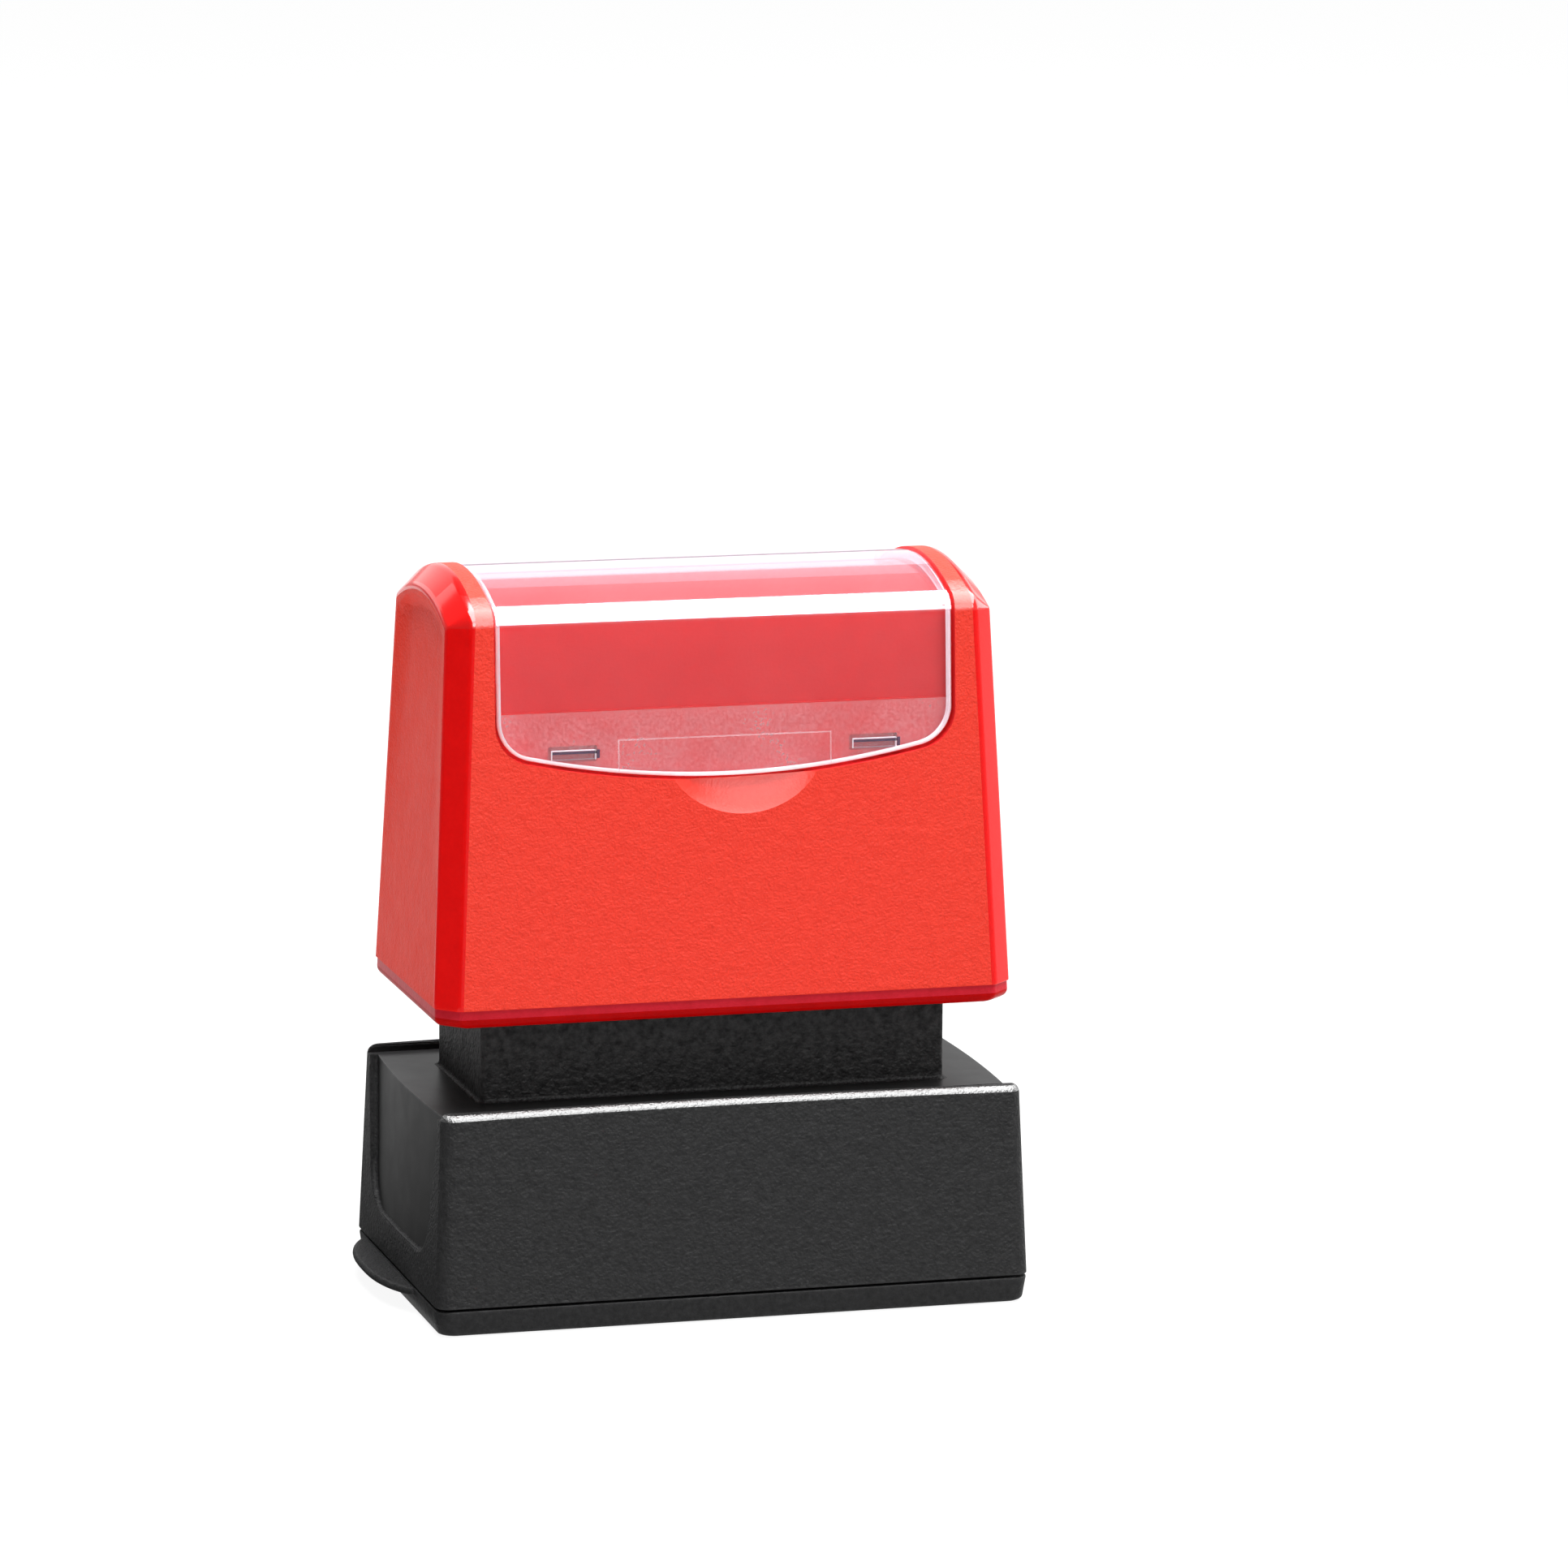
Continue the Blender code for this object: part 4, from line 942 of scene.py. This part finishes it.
# --- dust cap ----------------------------------------------------------------------------------------
def build_cap():
    def ring(z, inset):
        t = z / CAP_H
        return [(x, y, z) for x, y in rounded_rect(CAP_L - 0.35 * (1 - t) - inset, CAP_D - 0.35 * (1 - t) - inset, 1.6, 10, 12, 8)]

    rings = [ring(0.45 * (1 - math.cos(math.radians(90 * i / 4))), 0.45 * (1 - math.sin(math.radians(90 * i / 4)))) for i in range(5)]
    rings += [ring(1.4, 0.0)]
    rings += [ring(CAP_H - 0.18 * (1 - math.sin(math.radians(90 * i / 3))), 0.18 * (1 - math.cos(math.radians(90 * i / 3)))) for i in range(4)]
    cap = cutter(stacked(rings), [cap_mat])
    cap.name = "base_cap_fine"
    lip = box_bm(28.6, 16.5, 0.7, 5.4)
    bevel(lip, upright(lip), 2.0, 8)
    bevel(lip, [e for e in lip.edges if all(v.co.z > 5.3 for v in e.verts)], 0.25, 2)
    cut(cap, [cutter(lip)], "UNION")
    well = box_bm(27.4, 15.3, 1.2, 8)
    bevel(well, upright(well), 1.2, 6)
    cut(cap, [cutter(well)])
    # pull tab
    rings = []
    n = 40

    def tab_ring(z, inset):
        points = []
        for i in range(n + 1):
            t = -1 + 2 * i / n
            reach = 3.0 * (1 - abs(t) ** 2.6) ** 0.8
            points.append((-(CAP_L - 0.2) - max(reach - inset, -0.6) - 0.02, 4.0 + (11.9 - inset) * t, z))
        points += [(-(CAP_L - 2.5), 4.0 + 11.9 - inset, z), (-(CAP_L - 2.5), 4.0 - 11.9 + inset, z)]
        return points

    for i in range(5):
        a = math.radians(90 * i / 4)
        rings.append(tab_ring(1.65 + 0.4 * (1 - math.cos(a)), 0.4 * (1 - math.sin(a))))
    for i in range(5):
        a = math.radians(90 * i / 4)
        rings.append(tab_ring(2.5 - 0.4 * (1 - math.sin(a)), 0.4 * (1 - math.cos(a))))
    tab = stacked(rings)
    cut(cap, [cutter(tab)], "UNION")
    finish_mesh(cap, 32)
    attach(cap, "cap")
    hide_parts("base_cap")
    return cap


build_grip()
build_cover()
build_skirt()
build_cap()


# --- stage, light ------------------------------------------------------------------------------------
def emitter(name, corners, strength, colour=(1.0, 1.0, 1.0)):
    """A flat light panel: part of the studio, not of the object."""
    mesh = bpy.data.meshes.new(name)
    mesh.from_pydata([Vector(c) for c in corners], [], [(0, 1, 2, 3)])
    mat = bpy.data.materials.new(name)
    mat.use_nodes = True
    tree = mat.node_tree
    tree.nodes.clear()
    out, glow = node(tree, "ShaderNodeOutputMaterial"), node(tree, "ShaderNodeEmission")
    glow.inputs["Color"].default_value = (*colour, 1.0)
    glow.inputs["Strength"].default_value = strength
    tree.links.new(glow.outputs[0], out.inputs["Surface"])
    mesh.materials.append(mat)
    obj = link(bpy.data.objects.new(name, mesh))
    return obj


def area_light(name, centre, target, size_x, size_y, radiance, colour=(1.0, 1.0, 1.0)):
    """A rectangular area light of the given radiance, facing target."""
    data = bpy.data.lights.new(name, "AREA")
    data.shape = "RECTANGLE"
    data.size, data.size_y = size_x, size_y
    data.energy = radiance * math.pi * size_x * size_y
    data.color = colour
    obj = link(bpy.data.objects.new(name, data))
    obj.location = centre
    obj.rotation_euler = (Vector(target) - Vector(centre)).to_track_quat("-Z", "Y").to_euler()
    obj.visible_camera = False
    return obj


def build_stage():
    mesh = bpy.data.meshes.new("floor")
    s = 4.0
    mesh.from_pydata([(-s, -s, -1e-4), (s, -s, -1e-4), (s, s, -1e-4), (-s, s, -1e-4)], [], [(0, 1, 2, 3)])
    mat, tree, shader = new_material("floor")
    shader.inputs["Base Color"].default_value = (0.12, 0.12, 0.12, 1)
    shader.inputs["Roughness"].default_value = 0.9
    shader.inputs["Specular IOR Level"].default_value = 0.0
    shader.inputs["Emission Color"].default_value = (1, 1, 1, 1)
    shader.inputs["Emission Strength"].default_value = 0.92
    mesh.materials.append(mat)
    floor = link(bpy.data.objects.new("floor", mesh))
    world = bpy.data.worlds.new("studio")
    bpy.context.scene.world = world
    world.use_nodes = True
    tree = world.node_tree
    tree.nodes.clear()
    out, back = node(tree, "ShaderNodeOutputWorld"), node(tree, "ShaderNodeBackground")
    back.inputs["Strength"].default_value = 1.0
    geo = node(tree, "ShaderNodeTexCoord")
    split = node(tree, "ShaderNodeSeparateXYZ")
    tree.links.new(geo.outputs["Generated"], split.inputs[0])
    # darker towards the left, lighter towards the right
    side = mathop(tree, "MULTIPLY", split.outputs["X"], 0.30)
    total = mathop(tree, "ADD", side, 0.40)
    combine = node(tree, "ShaderNodeCombineXYZ")
    for k in ("X", "Y", "Z"):
        tree.links.new(total, combine.inputs[k])
    tree.links.new(combine.outputs[0], back.inputs["Color"])
    tree.links.new(back.outputs[0], out.inputs["Surface"])
    # overhead softbox, and its glossy image: the far edge sets where the lower pale band on the cover's arch begins
    soft = area_light("overhead", (0.20, 0.055, 0.83), (0.20, 0.055, 0.0), 0.90, 0.95, 8.0)
    soft.visible_glossy = False
    shine = area_light("overhead_shine", (0.10, -0.21, 0.80), (0.10, -0.21, 0.0), 1.5, 1.44, 9.5)
    shine.visible_diffuse = False
    # a strip behind, above the height that the skirt's deck mirrors: the upper pale band
    area_light("back_strip", (0.075, 0.25, 0.155), (0.075, 0.0, 0.155), 0.50, 0.13, 0.95)
    front = area_light("front_shine", (0.0, -1.3, 0.62), (0.0, 0.0, 0.07), 1.6, 0.6, 9.0)
    front.visible_diffuse = False
    flag = emitter("left_flag", [(-0.17, -0.45, 0.0), (-0.17, 0.5, 0.0), (-0.17, 0.5, 0.30), (-0.17, -0.45, 0.30)], 0.16)
    flag.visible_camera = False
    flag.visible_diffuse = False
    # a dark card on the floor behind and to the left, seen only in reflections: it lightens away from the stamp
    card = emitter("floor_card", [(-0.16, -0.03, 0.0006), (-0.0317, -0.03, 0.0006), (-0.0317, 0.17, 0.0006), (-0.16, 0.17, 0.0006)], 0.1)
    tree = card.data.materials[0].node_tree
    split = node(tree, "ShaderNodeSeparateXYZ")
    tree.links.new(tree.nodes.new("ShaderNodeTexCoord").outputs["Object"], split.inputs[0])
    glow = next(n for n in tree.nodes if n.type == "EMISSION")
    tree.links.new(remap(tree, split.outputs["Y"], 0.0, 0.11, 0.03, 0.72), glow.inputs["Strength"])
    for hidden in ("visible_camera", "visible_diffuse", "visible_shadow"):
        setattr(card, hidden, False)
    area_light("right_panel", (0.75, 0.18, 0.35), (0.0, 0.0, 0.06), 0.5, 0.6, 3.2)


build_stage()
bpy.context.scene.view_settings.view_transform = "Standard"


# --- carried-over pieces ------------------------------------------------------------------------------
steel = plastic("spring_steel", (0.50, 0.50, 0.51), (0.62, 0.62, 0.63), 0.28, scratches=0.3)
steel.node_tree.nodes["Principled BSDF"].inputs["Metallic"].default_value = 1.0
carrier = plastic("carrier_plastic", (0.020, 0.020, 0.021), (0.034, 0.034, 0.035), 0.45, grain=0.4, grain_mm=0.3)
rubber = plastic("die_rubber", (0.29, 0.28, 0.27), (0.40, 0.39, 0.38), 0.7, grain=0.5, grain_mm=0.35)
foam = plastic("ink_foam", (0.012, 0.012, 0.03), (0.03, 0.03, 0.06), 0.85, grain=1.0, grain_mm=0.5)
liner = plastic("liner_foam", (0.45, 0.46, 0.45), (0.62, 0.63, 0.61), 0.9, grain=1.0, grain_mm=0.4)
plate = plastic("plate_plastic", (0.50, 0.50, 0.48), (0.62, 0.62, 0.60), 0.4, grain=0.2, grain_mm=0.4)
NODE_LOOKS = {
    "guide_pin_": steel,
    "die_carrier": carrier,
    "carrier_screw_": steel,
    "screw_washer_": steel,
    "spring_washer_": steel,
    "pressure_plate": plate,
    "die_frame": carrier,
}
for name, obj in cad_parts.items():
    for start, look in NODE_LOOKS.items():
        if name.startswith(start):
            obj.data.materials.clear()
            obj.data.materials.append(look)
            soften = obj.modifiers.new("soften", "BEVEL")
            soften.width = 0.00012 if look is not steel else 0.00006
            soften.segments = 2
            soften.limit_method = "ANGLE"
            soften.angle_limit = math.radians(40)
            soften.harden_normals = False


def mm_box(name):
    low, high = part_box(name)
    return [v / MM for v in low], [v / MM for v in high]


def soft_block(name, node_name, look, body, radius, waist, crown_low, crown_high, edge):
    """A foam or rubber sheet in a CAD solid's box: rounded edges, sides that draw in at mid height, and gently crowned faces."""
    low, high = mm_box(node_name)
    cx, cy = (low[0] + high[0]) / 2, (low[1] + high[1]) / 2
    hl, hd = (high[0] - low[0]) / 2, (high[1] - low[1]) / 2
    z0, z1 = low[2], high[2]

    def ring(z, inset, lift):
        shrink_l, shrink_d = (hl - inset) / hl, (hd - inset) / hd
        base = rounded_rect(hl, hd, radius, 8, 24, 14)
        return [(cx + x * shrink_l, cy + y * shrink_d, z + lift * (1 - (x * shrink_l / hl) ** 2) * (1 - (y * shrink_d / hd) ** 2)) for x, y in base]

    steps = (0.97, 0.88, 0.75, 0.58, 0.40, 0.22)
    rings = []
    for t in reversed(steps):
        rings.append(ring(z0 + crown_low, hd * (1 - t), -crown_low))
    for i in range(5):
        a = math.radians(90 * i / 4)
        rings.append(ring(z0 + crown_low + edge * (1 - math.cos(a)), edge * (1 - math.sin(a)), 0))
    for i in range(1, 6):
        t = i / 6
        rings.append(ring(z0 + crown_low + edge + (z1 - z0 - crown_low - crown_high - 2 * edge) * t, waist * math.sin(math.pi * t), 0))
    for i in range(5):
        a = math.radians(90 * i / 4)
        rings.append(ring(z1 - crown_high - edge * (1 - math.sin(a)), edge * (1 - math.cos(a)), 0))
    for t in steps:
        rings.append(ring(z1 - crown_high, hd * (1 - t), crown_high))
    bm = stacked(rings)
    bmesh.ops.recalc_face_normals(bm, faces=bm.faces)
    made = from_bmesh(name, scaled(bm), [look])
    finish_mesh(made, 50)
    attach(made, body)
    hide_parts(node_name)
    return made


def build_spring(side):
    """A closed-end compression spring: the end coils lie flat, and the wire is round."""
    name = f"return_spring_{side}"
    low, high = mm_box(name)
    wire = SPRING_WIRE
    cx, cy = (low[0] + high[0]) / 2, (low[1] + high[1]) / 2
    radius = (high[0] - low[0]) / 2 - wire
    z0, z1 = low[2] + wire, high[2] - wire
    bm = bmesh.new()
    turns, per, sides = SPRING_TURNS, 36, 12
    n = turns * per
    rows = []
    for i in range(n + 1):
        t = i / n
        turn = t * turns
        # the first and last turns rise by only a wire's thickness
        flat = 2 * wire
        if turn < 1:
            z = z0 + flat * turn
        elif turn > turns - 1:
            z = z1 - flat * (turns - turn)
        else:
            z = z0 + flat + (z1 - z0 - 2 * flat) * (turn - 1) / (turns - 2)
        a = math.tau * turn
        out = Vector((math.cos(a), math.sin(a), 0))
        centre = Vector((cx, cy, z)) + out * radius
        rows.append([bm.verts.new(centre + (out * math.cos(b) + Vector((0, 0, 1)) * math.sin(b)) * wire) for b in [math.tau * k / sides for k in range(sides)]])
    skin(bm, rows, True)
    bm.faces.new(rows[0])
    bm.faces.new(list(reversed(rows[-1])))
    bmesh.ops.recalc_face_normals(bm, faces=bm.faces)
    spring = from_bmesh(f"{name}_fine", scaled(bm), [steel])
    finish_mesh(spring, 50)
    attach(spring, "skirt")
    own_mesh(spring)
    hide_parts(name)
    return spring


def build_die():
    """The blank rubber die: a flange on the bed, a draw-in to the printing block, and a fine radius round its face."""
    low, high = mm_box("stamp_die")
    hl, hd = high[0], high[1]
    face, top, flange = low[2], high[2], 0.8

    def ring(z, inset, r):
        return [(x, y, z) for x, y in rounded_rect(hl - inset, hd - inset, r, 8, 16, 8)]

    rings = []
    for i in range(5):
        a = math.radians(90 * i / 4)
        rings.append(ring(face + 0.15 * (1 - math.cos(a)), 0.8 + 0.15 * (1 - math.sin(a)), 0.6))
    rings += [ring(face + 1.2, 0.83, 0.6), ring(top - flange - 0.12, 0.80, 0.6), ring(top - flange - 0.02, 0.72, 0.65)]
    rings += [ring(top - flange, 0.62, 0.7), ring(top - flange, 0.12, 0.8), ring(top - flange + 0.04, 0.04, 0.8), ring(top - flange + 0.12, 0.0, 0.8)]
    rings += [ring(top - 0.12, 0.0, 0.8), ring(top - 0.04, 0.04, 0.8), ring(top, 0.12, 0.8)]
    bm = stacked(rings)
    bmesh.ops.recalc_face_normals(bm, faces=bm.faces)
    die = from_bmesh("stamp_die_fine", scaled(bm), [rubber])
    finish_mesh(die, 40)
    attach(die, "handle")
    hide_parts("stamp_die")
    return die


build_die()
build_spring("left")
build_spring("right")
pad = soft_block("ink_pad_foam", "ink_pad", foam, "handle", 0.8, 0.22, 0.0, 0.08, 0.25)
lining = soft_block("cap_liner_foam", "cap_liner", liner, "cap", 0.8, 0.05, 0.0, 0.06, 0.1)
